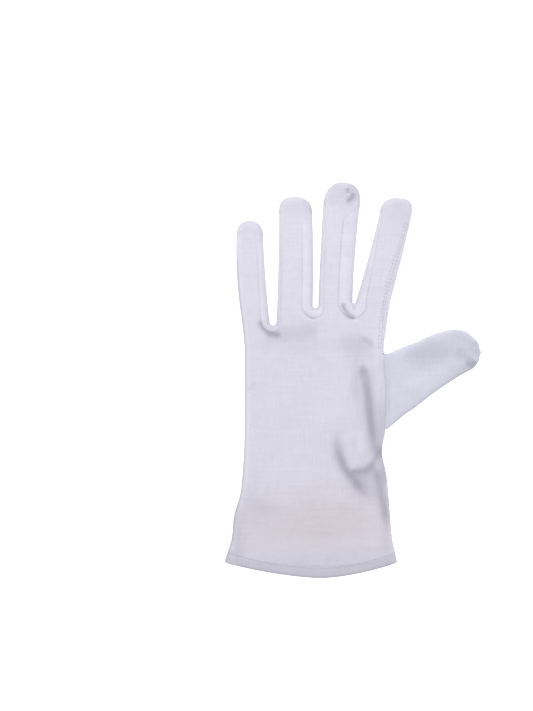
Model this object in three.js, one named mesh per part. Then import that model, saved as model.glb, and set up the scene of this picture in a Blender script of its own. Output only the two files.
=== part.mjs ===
// A white cotton parade glove for the left hand, lying flat on its palm with the fingers along +Y
// and the thumb towards +X. Millimetres, +Z up. It rests on z = 0, centred on the origin.
//
// The outline is worked out first: the hand's edges, the three crotches between the fingers, the
// finger sides and the finger ends. Every point of the cloth is then known by how far in from that
// outline it lies: the cloth turns over from the widest level, at the outline, to the flat of the
// hand. Seams are lines at a given distance in from the outline, and each sewn piece is the stretch
// of cloth between its seams, made a closed wall.

import * as THREE from "three";

// Sizes of the glove lying flat
const PALM_WIDTH = 88.8;
const PALM_LENGTH = 165.5;
const WRIST_WIDTH = 83;
const HEM_WIDTH = 104;
const HEM_HEIGHT = 6.2;
// The hem's lower edge: how far its corners lie above its lowest point, that point's share of the way
// across from the left, and the power of its curve
const HEM_SAG = 9.2;
const HEM_LOWEST = 0.56;
const HEM_CURVE = 1.6;
const LITTLE_LENGTH = 61;
const RING_LENGTH = 70.2;
const MIDDLE_LENGTH = 72.8;
const INDEX_LENGTH = 64;
const LITTLE_WIDTH = 16.2;
const RING_WIDTH = 20.2;
const MIDDLE_WIDTH = 22.2;
const INDEX_WIDTH = 19.4;
const THUMB_REACH = 56.8;
const THUMB_ROOT_WIDTH = 45.6;
// From the hem to the middle of the thumb's root
const THUMB_RISE = 111.2;

// Heights above the surface that it lies on
const HAND_THICKNESS = 10.6;
const CUFF_THICKNESS = 9.6;
const FINGER_THICKNESS = 7.8;
const THUMB_THICKNESS = 7.2;
const WIDEST_LEVEL = 3.6;
// The stretches of the palm's length where the thickness changes, from cuff to hand and on to fingers
const CUFF_TO_HAND = [0.05, 0.55];
const HAND_TO_FINGERS = [0.78, 1.06];

// Cloth and seams
const WALL = 1;
const HEM_WALL = 2;
const SEAM_GAP = 0.45;
// How far in from the outline the cloth turns over, above and below
const TOP_ROLL = 5.2;
const UNDER_ROLL = 4.2;
// How far in from the outline the seams lie on outer sides and finger ends, and under the side strips
const EDGE_SEAM = 0.9;
const PALM_SEAM = 2.6;
// Share of a finger side from which a side strip narrows to its end, above and below
const STRIP_TAPER = 0.84;
const UNDER_TAPER = 0.8;
// Share of the palm's width by which the hand's outer columns stop short of the finger roots
const OUTER_START = 0.09;
// The thumb's root reaches this far in under the back, which is lifted by a share of its turn
const THUMB_TUCK = 4;
const THUMB_CLEARANCE = 0.9;
const THUMB_LIFT = 0.35;

// The hand's two edges. up is a share of the palm's length from the hem, left and right are shares
// of half of the named width.
const EDGES = [
  { up: 0.0, width: HEM_WIDTH, left: 1.05, right: 0.975 },
  { up: 0.055, width: HEM_WIDTH, left: 1.035, right: 0.96 },
  { up: 0.14, width: HEM_WIDTH, left: 0.955, right: 0.905 },
  { up: 0.225, width: HEM_WIDTH, left: 0.925, right: 0.88 },
  { up: 0.3, width: WRIST_WIDTH, left: 1.055, right: 1.08 },
  { up: 0.375, width: WRIST_WIDTH, left: 1.02, right: 1.035 },
  { up: 0.455, width: WRIST_WIDTH, left: 1.012, right: 0.983 },
  { up: 0.535, width: PALM_WIDTH, left: 0.941, right: 0.968 },
  { up: 0.7, width: PALM_WIDTH, left: 0.939, right: 0.984 },
  { up: 0.825, width: PALM_WIDTH, left: 0.941, right: 0.945 },
  { up: 0.9, width: PALM_WIDTH, left: 0.966, right: 0.978 },
  { up: 0.935, width: PALM_WIDTH, left: 0.978, right: 0.995 },
  { up: 1.0, width: PALM_WIDTH, left: 1.0, right: 1.032 },
];

// The crotches, from the little finger on. across is a share of the palm's width from its middle, up
// a share of its length, radius a share of its width. seam and under say how far below the crotch the
// back's and the palm's seams pass, as shares of the palm's width.
const CROTCHES = [
  { name: "little_ring", across: -0.277, up: 0.926, radius: 0.022, seam: 0.049, under: 0.03 },
  { name: "ring_middle", across: 0.01, up: 0.987, radius: 0.018, seam: 0.074, under: 0.036 },
  { name: "middle_index", across: 0.272, up: 1.0, radius: 0.011, seam: 0.105, under: 0.036 },
];

// The fingers, from the little one on. lean is the finger's slope to the right and tilt that of its
// end, in degrees. end is the length of the rounded end as a share of the finger's width; squareness
// is 2 on a round end and more on a square one. bow swells the sides, as a share of the width.
const FINGERS = [
  { name: "little", length: LITTLE_LENGTH, width: LITTLE_WIDTH, lean: -3.4, tilt: 0, end: 0.55,
    squareLeft: 2.3, squareRight: 2.2, bowLeft: 0.08, bowRight: -0.03 },
  { name: "ring", length: RING_LENGTH, width: RING_WIDTH, lean: 0.5, tilt: 0, end: 0.48,
    squareLeft: 2.9, squareRight: 2.3, bowLeft: -0.02, bowRight: 0.02 },
  { name: "middle", length: MIDDLE_LENGTH, width: MIDDLE_WIDTH, lean: 3.7, tilt: 4, end: 0.62,
    squareLeft: 2.2, squareRight: 3, bowLeft: 0.01, bowRight: -0.03 },
  { name: "index", length: INDEX_LENGTH, width: INDEX_WIDTH, lean: 13, tilt: 4, end: 0.46,
    squareLeft: 2.1, squareRight: 3.4, bowLeft: -0.02, bowRight: 0.02 },
];

// How far in from the outline the back's seam runs on each finger side, as shares of the finger's
// width, at the crotch and near the end.
const SEAMS = [
  { finger: "little", left: [0.055, 0.055], right: [0.335, 0.2] },
  { finger: "ring", left: [0.11, 0.045], right: [0.34, 0.34] },
  { finger: "middle", left: [0.12, 0.1], right: [0.4, 0.42] },
  { finger: "index", left: [0.31, 0.05], right: [0.215, 0.08] },
];

// The thumb, by stations from the hand's edge to its tip: along is a share of its reach, upper and
// lower are shares of its root's width from the root's middle.
const THUMB_STATIONS = [
  { along: 0.0, upper: 0.5, lower: -0.5 },
  { along: 0.1, upper: 0.56, lower: -0.39 },
  { along: 0.2, upper: 0.613, lower: -0.29 },
  { along: 0.31, upper: 0.665, lower: -0.195 },
  { along: 0.49, upper: 0.765, lower: -0.02 },
  { along: 0.68, upper: 0.828, lower: 0.14 },
  { along: 0.82, upper: 0.81, lower: 0.25 },
  { along: 0.91, upper: 0.73, lower: 0.31 },
  { along: 0.965, upper: 0.655, lower: 0.395 },
  { along: 1.0, upper: 0.54, lower: 0.5 },
];

// Dents of the back. Places are shares of the palm's width, from its middle, and length; width is a
// share of the palm's width and depth of the hand's thickness. A depth below zero is a swelling.
const DENTS = [
  { from: [0.28, 0.86], to: [0.41, 0.86], width: 0.055, depth: 0.13 },
  { from: [0.32, 0.79], to: [0.37, 0.66], width: 0.045, depth: 0.12 },
  { from: [0.37, 0.66], to: [0.41, 0.5], width: 0.045, depth: 0.13 },
  { from: [0.16, 0.5], to: [0.21, 0.41], width: 0.045, depth: 0.1 },
  { from: [0.21, 0.41], to: [0.33, 0.32], width: 0.045, depth: 0.11 },
  { from: [0.2, 0.39], to: [0.34, 0.39], width: 0.04, depth: 0.08 },
  { from: [0.34, 0.39], to: [0.47, 0.45], width: 0.04, depth: 0.12 },
  { from: [0.41, 0.38], to: [0.49, 0.27], width: 0.04, depth: 0.12 },
  { from: [0.24, 0.49], to: [0.37, 0.46], width: 0.09, depth: -0.07 },
  { from: [-0.37, 0.96], to: [-0.27, 0.88], width: 0.035, depth: 0.12 },
];

// How finely the cloth is divided
const FINGER_COLUMNS = 5;
const CROTCH_ROWS = 3;
const SIDE_ROWS = 6;
const END_ROWS = 4;
const HAND_ROWS = [6, 4, 3];
const EDGE_COLUMNS = 3;
const HEM_COLUMNS = 20;
const THUMB_COLUMNS = 8;

const COTTON = { color: 0xdcdbe4, roughness: 0.9, metalness: 0 };

const { lerp, smoothstep, clamp, degToRad } = THREE.MathUtils;
const QUARTER = Math.PI / 2;

// A smooth curve through one column of a table, at a place given by the table's own scale.
function follow(table, scale, column, at) {
  const rows = table.map((row) => ({ at: row[scale], value: column(row) }));
  const last = rows.length - 1;
  const k = clamp(rows.findIndex((row) => row.at > at) - 1, 0, last - 1);
  const start = at >= rows[last].at ? last - 1 : k;
  const slope = (i) => {
    const before = rows[Math.max(i - 1, 0)];
    const after = rows[Math.min(i + 1, last)];
    return (after.value - before.value) / (after.at - before.at);
  };
  const a = rows[start];
  const b = rows[start + 1];
  const span = b.at - a.at;
  const t = clamp((at - a.at) / span, 0, 1);
  const rest = 1 - t;
  return a.value * (1 + 2 * t) * rest * rest + b.value * (3 - 2 * t) * t * t
    + span * (slope(start) * t * rest * rest - slope(start + 1) * t * t * rest);
}

// The hand's own edge on one side at height y up the glove.
function handEdge(side, y) {
  const half = follow(EDGES, "up", (row) => row[side] * row.width / 2, y / PALM_LENGTH);
  return side === "left" ? -half : half;
}

const inward = (side) => (side === "left" ? 1 : -1);

const crotches = CROTCHES.map((row) => ({
  ...row,
  x: row.across * PALM_WIDTH,
  y: row.up * PALM_LENGTH,
  radius: row.radius * PALM_WIDTH,
  seam: row.seam * PALM_WIDTH,
  under: row.under * PALM_WIDTH,
}));

// The root, the end and the two sides of each finger.
const fingers = FINGERS.map((row, k) => {
  const before = crotches[k - 1];
  const after = crotches[k];
  const leftY = (before ?? after).y;
  const rightY = (after ?? before).y;
  const root = {
    left: new THREE.Vector2(before ? before.x + before.radius : handEdge("left", leftY), leftY),
    right: new THREE.Vector2(after ? after.x - after.radius : handEdge("right", rightY), rightY),
  };
  const endLength = row.end * row.width;
  const lean = degToRad(row.lean);
  const tilt = degToRad(row.tilt);
  const axis = new THREE.Vector2(Math.sin(lean), Math.cos(lean));
  const along = new THREE.Vector2(Math.sin(tilt), Math.cos(tilt));
  const across = new THREE.Vector2(along.y, -along.x);
  const tip = root.left.clone().lerp(root.right, 0.5).addScaledVector(axis, row.length);
  const centre = tip.clone().addScaledVector(along, -endLength);
  const half = row.width / 2;
  const end = {
    left: centre.clone().addScaledVector(across, -half),
    right: centre.clone().addScaledVector(across, half),
  };
  return { ...row, k, root, end, centre, along, across, half, endLength,
    seams: SEAMS.find((seam) => seam.finger === row.name) };
});

// A point of a finger's straight side at share t of its length, moved in by inset.
function sidePoint(finger, side, t, inset) {
  const swell = (side === "left" ? finger.bowLeft : finger.bowRight) * finger.width * 4 * t * (1 - t);
  const point = finger.root[side].clone().lerp(finger.end[side], t);
  point.x += inward(side) * (inset - swell);
  return point;
}

// The x of a finger's side at height y.
function sideX(finger, side, y) {
  const t = (y - finger.root[side].y) / (finger.end[side].y - finger.root[side].y);
  return sidePoint(finger, side, clamp(t, 0, 1.2), 0).x;
}

// How far in from the glove's outline a point lies.
function insetAt(x, y) {
  const first = fingers[0];
  const last = fingers[fingers.length - 1];
  const left = y < first.root.left.y ? handEdge("left", y) : sideX(first, "left", y);
  const right = y < last.root.right.y ? handEdge("right", y) : sideX(last, "right", y);
  let inset = Math.min(x - left, right - x);
  crotches.forEach((crotch, k) => {
    const sideBefore = sideX(fingers[k], "right", y);
    const sideAfter = sideX(fingers[k + 1], "left", y);
    const beside = x < (sideBefore + sideAfter) / 2 ? sideBefore - x : x - sideAfter;
    const below = Math.hypot(x - crotch.x, y - crotch.y) - crotch.radius;
    inset = Math.min(inset, y < crotch.y ? below : beside);
  });
  for (const finger of fingers) {
    const dx = x - finger.centre.x;
    const dy = y - finger.centre.y;
    const across = (dx * finger.across.x + dy * finger.across.y) / finger.half;
    const along = (dx * finger.along.x + dy * finger.along.y) / finger.endLength;
    if (along > 0 && Math.abs(across) < 1) {
      const n = across < 0 ? finger.squareLeft : finger.squareRight;
      const radial = (Math.abs(across) ** n + along ** n) ** (1 / n);
      inset = Math.min(inset, (1 - radial) * finger.half);
    }
  }
  return Math.max(inset, 0);
}

// A quarter ellipse: 0 at the outline, 1 from one roll in.
function rolled(inset, roll) {
  const t = clamp(1 - inset / roll, 0, 1);
  return Math.sqrt(1 - t * t);
}

// How deep the dents are at a point.
function dentAt(x, y) {
  return DENTS.reduce((sum, dent) => {
    const from = new THREE.Vector2(dent.from[0] * PALM_WIDTH, dent.from[1] * PALM_LENGTH);
    const way = new THREE.Vector2(dent.to[0] * PALM_WIDTH, dent.to[1] * PALM_LENGTH).sub(from);
    const point = new THREE.Vector2(x, y).sub(from);
    const t = clamp(point.dot(way) / way.lengthSq(), 0, 1);
    const away = point.distanceTo(way.multiplyScalar(t)) / (dent.width * PALM_WIDTH);
    return sum + dent.depth * HAND_THICKNESS * Math.exp(-away * away);
  }, 0);
}

// The glove's thickness without dents: cuff, hand, then fingers.
function thicknessAt(y) {
  const up = y / PALM_LENGTH;
  const hand = lerp(CUFF_THICKNESS, HAND_THICKNESS, smoothstep(up, ...CUFF_TO_HAND));
  return lerp(hand, FINGER_THICKNESS, smoothstep(up, ...HAND_TO_FINGERS));
}

// The stretch of the right edge that the thumb passes through.
const thumbWindow = {
  low: THUMB_RISE - THUMB_ROOT_WIDTH / 2 - THUMB_CLEARANCE,
  high: THUMB_RISE + THUMB_ROOT_WIDTH / 2 + THUMB_CLEARANCE,
};

// 1 beside the stretch that the thumb passes through, 0 elsewhere.
function besideThumb(x, y) {
  return x > 0 ? smoothstep(y, thumbWindow.low, thumbWindow.low + UNDER_ROLL)
    * (1 - smoothstep(y, thumbWindow.high - UNDER_ROLL, thumbWindow.high)) : 0;
}

// The back turns down towards the outline, and is lifted where it lies over the thumb.
function topZ(x, y) {
  const turn = lerp(rolled(insetAt(x, y), TOP_ROLL), 1, THUMB_LIFT * besideThumb(x, y));
  return WIDEST_LEVEL + (thicknessAt(y) - WIDEST_LEVEL - dentAt(x, y)) * turn;
}

// The underside is flat, and turns up towards the outline, except where the thumb goes in.
function underZ(x, y) {
  const turn = lerp(rolled(insetAt(x, y), UNDER_ROLL), 1, besideThumb(x, y));
  return WIDEST_LEVEL * (1 - turn);
}

// The seam's distance in from the outline on the hand's own edges: the outer fingers' at their roots.
function handSeam(side, y) {
  const finger = side === "left" ? fingers[0] : fingers[fingers.length - 1];
  const top = finger.seams[side][0] * finger.width;
  return lerp(EDGE_SEAM, top, smoothstep(y, thumbWindow.high, finger.root[side].y));
}

const hasFork = (finger, side) => Boolean(side === "left" ? crotches[finger.k - 1] : crotches[finger.k]);

// The distance in from the outline of the back's or the palm's seam, at share t of a zone of a finger's
// side: crotch, side or end.
function seamInset(panel, finger, side, zone, t) {
  if (zone === "end") {
    return EDGE_SEAM;
  }
  const crotch = side === "left" ? crotches[finger.k - 1] : crotches[finger.k];
  const [root, end] = finger.seams[side].map((share) => share * finger.width);
  if (panel === "palm") {
    const main = crotch ? PALM_SEAM : EDGE_SEAM;
    const start = crotch ? crotch.under : EDGE_SEAM;
    return zone === "crotch" ? lerp(start, main, t) : lerp(main, EDGE_SEAM, smoothstep(t, UNDER_TAPER, 1));
  }
  if (zone === "crotch") {
    return crotch ? lerp(crotch.seam, root, t) : handSeam(side, borderPoint(finger, side, zone, t, 0).y);
  }
  return lerp(lerp(root, end, t), EDGE_SEAM, smoothstep(t, STRIP_TAPER, 1));
}

// The height of a finger's first row on an outer side of the hand.
const outerStart = (finger, side) => finger.root[side].y - OUTER_START * PALM_WIDTH;

// A point of a finger's border in one zone, moved in from the outline by inset.
function borderPoint(finger, side, zone, t, inset) {
  const sign = inward(side);
  if (zone === "side") {
    return sidePoint(finger, side, t, inset);
  }
  if (zone === "end") {
    const n = side === "left" ? finger.squareLeft : finger.squareRight;
    const across = Math.cos(t * QUARTER) ** (2 / n) * (finger.half - inset);
    const along = Math.sin(t * QUARTER) ** (2 / n) * (finger.endLength - inset);
    return finger.centre.clone().addScaledVector(finger.across, -sign * Math.max(across, 0))
      .addScaledVector(finger.along, along);
  }
  const crotch = side === "left" ? crotches[finger.k - 1] : crotches[finger.k];
  if (!crotch) {
    const y = lerp(outerStart(finger, side), finger.root[side].y, t);
    return new THREE.Vector2(handEdge(side, y) + sign * inset, y);
  }
  const reach = crotch.radius + inset;
  return new THREE.Vector2(crotch.x + sign * reach * Math.sin(t * QUARTER),
    crotch.y - reach * Math.cos(t * QUARTER));
}

// The rows of a finger, from the crotch line to its end.
const fingerRows = [
  ...Array.from({ length: CROTCH_ROWS + 1 }, (_, i) => ({ zone: "crotch", t: i / CROTCH_ROWS })),
  ...Array.from({ length: SIDE_ROWS }, (_, i) => ({ zone: "side", t: (i + 1) / SIDE_ROWS })),
  ...Array.from({ length: END_ROWS }, (_, i) => ({ zone: "end", t: (i + 1) / END_ROWS })),
];

function seamPoint(panel, finger, side, row, gap = 0) {
  return borderPoint(finger, side, row.zone, row.t,
    seamInset(panel, finger, side, row.zone, row.t) + gap);
}

// A sheet of cloth: grids of points joined where they meet, then given a wall. A point has its place
// and may have its outward direction; where it has none, that of the faces round it is used.
class Cloth {
  constructor() {
    this.points = [];
    this.normals = [];
    this.places = new Map();
    this.triangles = [];
  }

  vertex({ at, out }) {
    const key = at.toArray().map((value) => Math.round(value * 1e3)).join();
    if (!this.places.has(key)) {
      this.places.set(key, this.points.length);
      this.points.push(at);
      this.normals.push(out);
    }
    return this.places.get(key);
  }

  triangle(a, b, c) {
    if (a !== b && b !== c && c !== a) {
      this.triangles.push([a, b, c]);
    }
  }

  // Adds a grid of rows of points. Its outer face is the one from which the columns run to the right
  // and the rows upwards, or the other one when turned.
  add(rows, turned = false) {
    const grid = rows.map((row) => row.map((point) => this.vertex(point)));
    for (let i = 0; i + 1 < grid.length; i++) {
      for (let j = 0; j + 1 < grid[i].length; j++) {
        const corners = [grid[i][j], grid[i][j + 1], grid[i + 1][j + 1], grid[i + 1][j]];
        const [a, b, c, d] = turned ? corners.reverse() : corners;
        this.triangle(a, b, c);
        this.triangle(a, c, d);
      }
    }
  }

  // The cloth as a closed body: the outer face, the same face one wall in, and the raw edges.
  body(wall) {
    const turned = this.points.map(() => new THREE.Vector3());
    for (const corners of this.triangles) {
      const [a, b, c] = corners.map((index) => this.points[index]);
      const normal = b.clone().sub(a).cross(c.clone().sub(a));
      corners.forEach((index) => turned[index].add(normal));
    }
    const count = this.points.length;
    const inner = this.points.map((point, i) => (
      point.clone().addScaledVector(this.normals[i] ?? turned[i].normalize(), -wall)
    ));
    const directed = new Set(this.triangles.flatMap(([a, b, c]) => [`${a},${b}`, `${b},${c}`, `${c},${a}`]));
    const faces = this.triangles.flatMap(([a, b, c]) => [[a, b, c], [c + count, b + count, a + count]]);
    for (const [a, b, c] of this.triangles) {
      for (const [from, to] of [[a, b], [b, c], [c, a]]) {
        if (!directed.has(`${to},${from}`)) {
          faces.push([to, from, from + count], [to, from + count, to + count]);
        }
      }
    }
    const geometry = new THREE.BufferGeometry().setFromPoints([...this.points, ...inner]);
    geometry.setIndex(faces.flat());
    geometry.computeVertexNormals();
    return geometry;
  }
}

// The point of the cloth above or below a point of the plane, with the cloth's outward direction there.
const SLOPE_STEP = 0.02;
const lift = (height) => ({ x, y }) => {
  const slopeX = (height(x + SLOPE_STEP, y) - height(x - SLOPE_STEP, y)) / (2 * SLOPE_STEP);
  const slopeY = (height(x, y + SLOPE_STEP) - height(x, y - SLOPE_STEP)) / (2 * SLOPE_STEP);
  const out = new THREE.Vector3(-slopeX, -slopeY, 1).normalize();
  if (height === underZ) {
    out.negate();
  }
  return { at: new THREE.Vector3(x, y, height(x, y)), out };
};

// Shares from 0 to 1 that crowd towards the ends named.
function shares(count, crowdStart, crowdEnd) {
  return Array.from({ length: count + 1 }, (_, j) => {
    const t = j / count;
    const start = crowdStart ? 1 - Math.cos(t * QUARTER) : t;
    const end = crowdEnd ? Math.sin(t * QUARTER) : t;
    return lerp(start, end, t);
  });
}

// The columns of one finger: their shares of the way from its left seam to its right one.
const fingerShares = shares(FINGER_COLUMNS, true, true);

// The hem line: how far up the lower edge lies at a share of the way across the hand.
function hemLine(share) {
  const side = share < HEM_LOWEST ? HEM_LOWEST : 1 - HEM_LOWEST;
  return HEM_SAG * (Math.abs(share - HEM_LOWEST) / side) ** HEM_CURVE;
}

// A hand point: share across between the two seams of a panel, and height y.
function handPoint(panel, share, y) {
  const insetOn = (side) => (panel === "palm" ? EDGE_SEAM : handSeam(side, y) + SEAM_GAP / 2);
  const left = handEdge("left", y) + insetOn("left");
  const right = handEdge("right", y) - insetOn("right");
  return new THREE.Vector2(lerp(left, right, share), y);
}

// The heights of the hand's rows at its right edge, from the hem band up: one row lies at each end of
// the thumb's window.
function handLevels(low, high) {
  const stops = [low, thumbWindow.low, thumbWindow.high, high];
  const levels = HAND_ROWS.flatMap((count, part) => (
    Array.from({ length: count }, (_, i) => lerp(stops[part], stops[part + 1], i / count))
  ));
  return [...levels, high];
}

const panelFloor = (share) => hemLine(share) + HEM_HEIGHT + SEAM_GAP;

// The grids of a panel, in the plane: the hand, then each finger.
function panelGrids(panel) {
  const gap = panel === "back" ? SEAM_GAP / 2 : 0;
  const fingerGrids = fingers.map((finger) => fingerRows.map((row) => {
    const left = seamPoint(panel, finger, "left", row, gap);
    const right = seamPoint(panel, finger, "right", row, gap);
    return fingerShares.map((share) => left.clone().lerp(right, share));
  }));
  const topRow = fingerGrids.flatMap((grid, k) => (k === 0 ? grid[0] : grid[0].slice(1)));
  const shareOf = (point) => {
    const left = handPoint(panel, 0, point.y).x;
    const right = handPoint(panel, 1, point.y).x;
    return clamp((point.x - left) / (right - left), 0, 1);
  };
  const lastTop = topRow[topRow.length - 1];
  const low = panelFloor(1);
  const levels = handLevels(low, lastTop.y);
  const hand = levels.map((level, i) => topRow.map((point) => {
    if (i === levels.length - 1) {
      return point;
    }
    const share = shareOf(point);
    const rise = (level - low) / (lastTop.y - low);
    return handPoint(panel, share, lerp(panelFloor(share), point.y, rise));
  }));
  return { hand, levels, fingerGrids };
}

// The strip of cloth that turns round the outline at one place: from the palm's seam, round the widest
// point, up to the seam above, with both seams' distances in from the outline.
function turnStrip(pointAt, under, above) {
  const low = shares(EDGE_COLUMNS - 1, false, true).map((share) => {
    const inset = under * (1 - share);
    return lift(underZ)(pointAt(inset));
  });
  const high = shares(EDGE_COLUMNS, true, false).slice(1).map((share) => {
    const inset = above * share;
    return lift(topZ)(pointAt(inset));
  });
  return [...low, ...high];
}

// The back of the hand and of the fingers.
function makeBack() {
  const cloth = new Cloth();
  const { hand, fingerGrids } = panelGrids("back");
  cloth.add(hand.map((row) => row.map(lift(topZ))));
  fingerGrids.forEach((grid) => cloth.add(grid.map((row) => row.map(lift(topZ)))));
  return cloth.body(WALL);
}

// The palm and the fronts of the fingers, with the strips that turn up round the outer sides and ends.
function makePalm() {
  const cloth = new Cloth();
  const { hand, levels, fingerGrids } = panelGrids("palm");
  cloth.add(hand.map((row) => row.map(lift(underZ))), true);
  fingerGrids.forEach((grid) => cloth.add(grid.map((row) => row.map(lift(underZ))), true));

  const handStrip = (side, rows) => rows.map((y) => turnStrip(
    (inset) => new THREE.Vector2(handEdge(side, y) + inward(side) * inset, y),
    EDGE_SEAM, handSeam(side, y) - SEAM_GAP / 2,
  ));
  const fingerStrip = (finger, side, rows) => rows.map((row) => turnStrip(
    (inset) => borderPoint(finger, side, row.zone, row.t, inset),
    seamInset("palm", finger, side, row.zone, row.t),
    seamInset("back", finger, side, row.zone, row.t) - SEAM_GAP / 2,
  ));
  const leftLevels = hand.map((row) => row[0].y);
  const belowThumb = levels.filter((y) => y <= thumbWindow.low + SEAM_GAP);
  const aboveThumb = levels.filter((y) => y >= thumbWindow.high - SEAM_GAP);
  cloth.add(handStrip("left", leftLevels));
  cloth.add(handStrip("right", belowThumb), true);
  cloth.add(handStrip("right", aboveThumb), true);
  for (const finger of fingers) {
    for (const side of ["left", "right"]) {
      const rows = hasFork(finger, side)
        ? fingerRows.filter((row) => row.zone === "end" || (row.zone === "side" && row.t === 1))
        : fingerRows;
      cloth.add(fingerStrip(finger, side, rows), side === "right");
    }
  }
  return cloth.body(WALL);
}

// The side strip of one crotch: down the finger before it, round the crotch and up the finger after it.
function makeFork(crotch, k) {
  const cloth = new Cloth();
  const rows = fingerRows.filter((row) => row.zone !== "end");
  const strip = (finger, side) => rows.map((row) => {
    const last = row.zone === "side" && row.t === 1;
    const t = last ? 1 - SEAM_GAP / finger.root[side].distanceTo(finger.end[side]) : row.t;
    return turnStrip(
      (inset) => borderPoint(finger, side, row.zone, t, inset),
      seamInset("palm", finger, side, row.zone, t) - SEAM_GAP,
      seamInset("back", finger, side, row.zone, t) - SEAM_GAP / 2,
    );
  });
  cloth.add(strip(fingers[k], "right"), true);
  cloth.add(strip(fingers[k + 1], "left"));
  return cloth.body(WALL);
}

// The thumb: a flattened pouch, open at its root. The upper half of the root is tucked in under the
// back, the lower half meets the palm.
function makeThumb() {
  const cloth = new Cloth();
  const across = shares(THUMB_COLUMNS, true, true);
  const rows = THUMB_STATIONS.map((station, i) => {
    const upper = station.upper * THUMB_ROOT_WIDTH + THUMB_RISE;
    const lower = station.lower * THUMB_ROOT_WIDTH + THUMB_RISE;
    const half = (upper - lower) / 2;
    const point = (share, top) => {
      const y = lerp(upper, lower, share);
      const inset = half * (1 - Math.abs(2 * share - 1));
      const turn = rolled(inset, top ? TOP_ROLL : UNDER_ROLL);
      const height = top ? THUMB_THICKNESS - WIDEST_LEVEL : -WIDEST_LEVEL;
      const seam = handEdge("right", y) - EDGE_SEAM + SEAM_GAP;
      const edge = i === 0 && top ? handEdge("right", y) - THUMB_TUCK : seam;
      const x = i === 0 ? edge : handEdge("right", THUMB_RISE) + station.along * THUMB_REACH;
      return { at: new THREE.Vector3(x, y, WIDEST_LEVEL + height * turn) };
    };
    const topPoints = across.slice(1, -1).map((share) => point(share, true));
    const lowPoints = across.map((share) => point(share, false)).reverse();
    return [...topPoints, ...lowPoints, topPoints[0]];
  });
  cloth.add(rows);
  return cloth.body(WALL);
}

// The doubled band round the wrist opening.
function makeHem() {
  const cloth = new Cloth();
  const across = shares(HEM_COLUMNS, true, true);
  const ring = (rise) => {
    const point = (share) => {
      const y = hemLine(share) + rise;
      return new THREE.Vector2(lerp(handEdge("left", y), handEdge("right", y), share), y);
    };
    const over = across.map(point).map(lift(topZ));
    const below = across.slice(0, -1).map(point).map(lift(underZ)).reverse();
    return [...over, ...below];
  };
  cloth.add([0, HEM_HEIGHT / 2, HEM_HEIGHT].map(ring));
  return cloth.body(HEM_WALL);
}

const glove = new THREE.Group();

function place(name, geometry) {
  const mesh = new THREE.Mesh(geometry, new THREE.MeshStandardMaterial(COTTON));
  mesh.name = name;
  glove.add(mesh);
}

place("back_panel", makeBack());
place("palm_panel", makePalm());
crotches.forEach((crotch, k) => place(`fork_${crotch.name}`, makeFork(crotch, k)));
place("thumb", makeThumb());
place("cuff_hem", makeHem());

// The glove stands on z = 0, centred on the origin.
const box = new THREE.Box3().setFromObject(glove);
const middle = box.getCenter(new THREE.Vector3());
glove.position.set(-middle.x, -middle.y, -box.min.z);

export default glove;
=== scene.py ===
"""A white cotton parade glove lying flat on its palm, seen from straight above.

The glove is worked out in millimetres in a plan of its own: x is measured from the middle of the
palm, y from the lowest point of the hem and z from the surface that the glove lies on. The plan
gives the outline, the seams and the height of the cloth above and below. Each sewn piece is the
stretch of cloth between its seams, laid out as grids of points, given a wall and placed in the
frame in metres.
"""

import logging
import math
from dataclasses import dataclass, field, replace
from enum import Enum
from typing import Callable, Sequence

import bpy
import numpy as np
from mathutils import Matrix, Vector

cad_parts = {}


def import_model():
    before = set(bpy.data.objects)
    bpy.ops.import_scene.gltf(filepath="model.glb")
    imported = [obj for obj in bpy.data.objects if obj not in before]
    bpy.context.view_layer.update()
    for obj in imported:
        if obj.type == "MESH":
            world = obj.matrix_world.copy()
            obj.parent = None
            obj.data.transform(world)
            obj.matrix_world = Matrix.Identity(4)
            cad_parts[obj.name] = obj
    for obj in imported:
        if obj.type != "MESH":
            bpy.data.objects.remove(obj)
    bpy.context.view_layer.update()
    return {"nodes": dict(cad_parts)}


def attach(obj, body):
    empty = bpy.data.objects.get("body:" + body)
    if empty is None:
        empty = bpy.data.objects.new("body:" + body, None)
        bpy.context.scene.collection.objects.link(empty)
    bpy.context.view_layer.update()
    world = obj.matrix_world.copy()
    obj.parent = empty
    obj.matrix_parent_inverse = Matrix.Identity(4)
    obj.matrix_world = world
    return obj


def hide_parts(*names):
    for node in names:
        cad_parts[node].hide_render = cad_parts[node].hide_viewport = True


LOG = logging.getLogger("glove")
MM = 0.001
QUARTER = math.pi / 2
# A length that is as good as nought, against division by it
TINY = 1e-9

Array = np.ndarray
Height = Callable[[Array, Array], Array]


class Side(Enum):
    """The side of a finger or of the hand, seen from above. The value points inwards along x."""

    LEFT = 1
    RIGHT = -1


class Zone(Enum):
    """The stretches of a finger's border, from the crotch to the tip."""

    CROTCH = "crotch"
    SIDE = "side"
    END = "end"


class Panel(Enum):
    """The two large pieces that the fingers are cut in one with."""

    BACK = "back"
    PALM = "palm"


# ----------------------------------------------------------------------------
# Small formulas
# ----------------------------------------------------------------------------


def mix(a: Array, b: Array, t: Array) -> Array:
    """a at t = 0, b at t = 1, evenly between."""
    return a + (b - a) * t


def ramp(value: Array, low: float, high: float) -> Array:
    """0 below low, 1 above high, with a smooth S between: 3t squared less 2t cubed."""
    t = np.clip((value - low) / (high - low), 0.0, 1.0)
    return t * t * (3.0 - 2.0 * t)


def rolled(inset: Array, roll: float) -> Array:
    """A quarter ellipse: 0 at the outline, 1 from one roll in."""
    t = np.clip(1.0 - inset / roll, 0.0, 1.0)
    return np.sqrt(1.0 - t * t)


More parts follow.
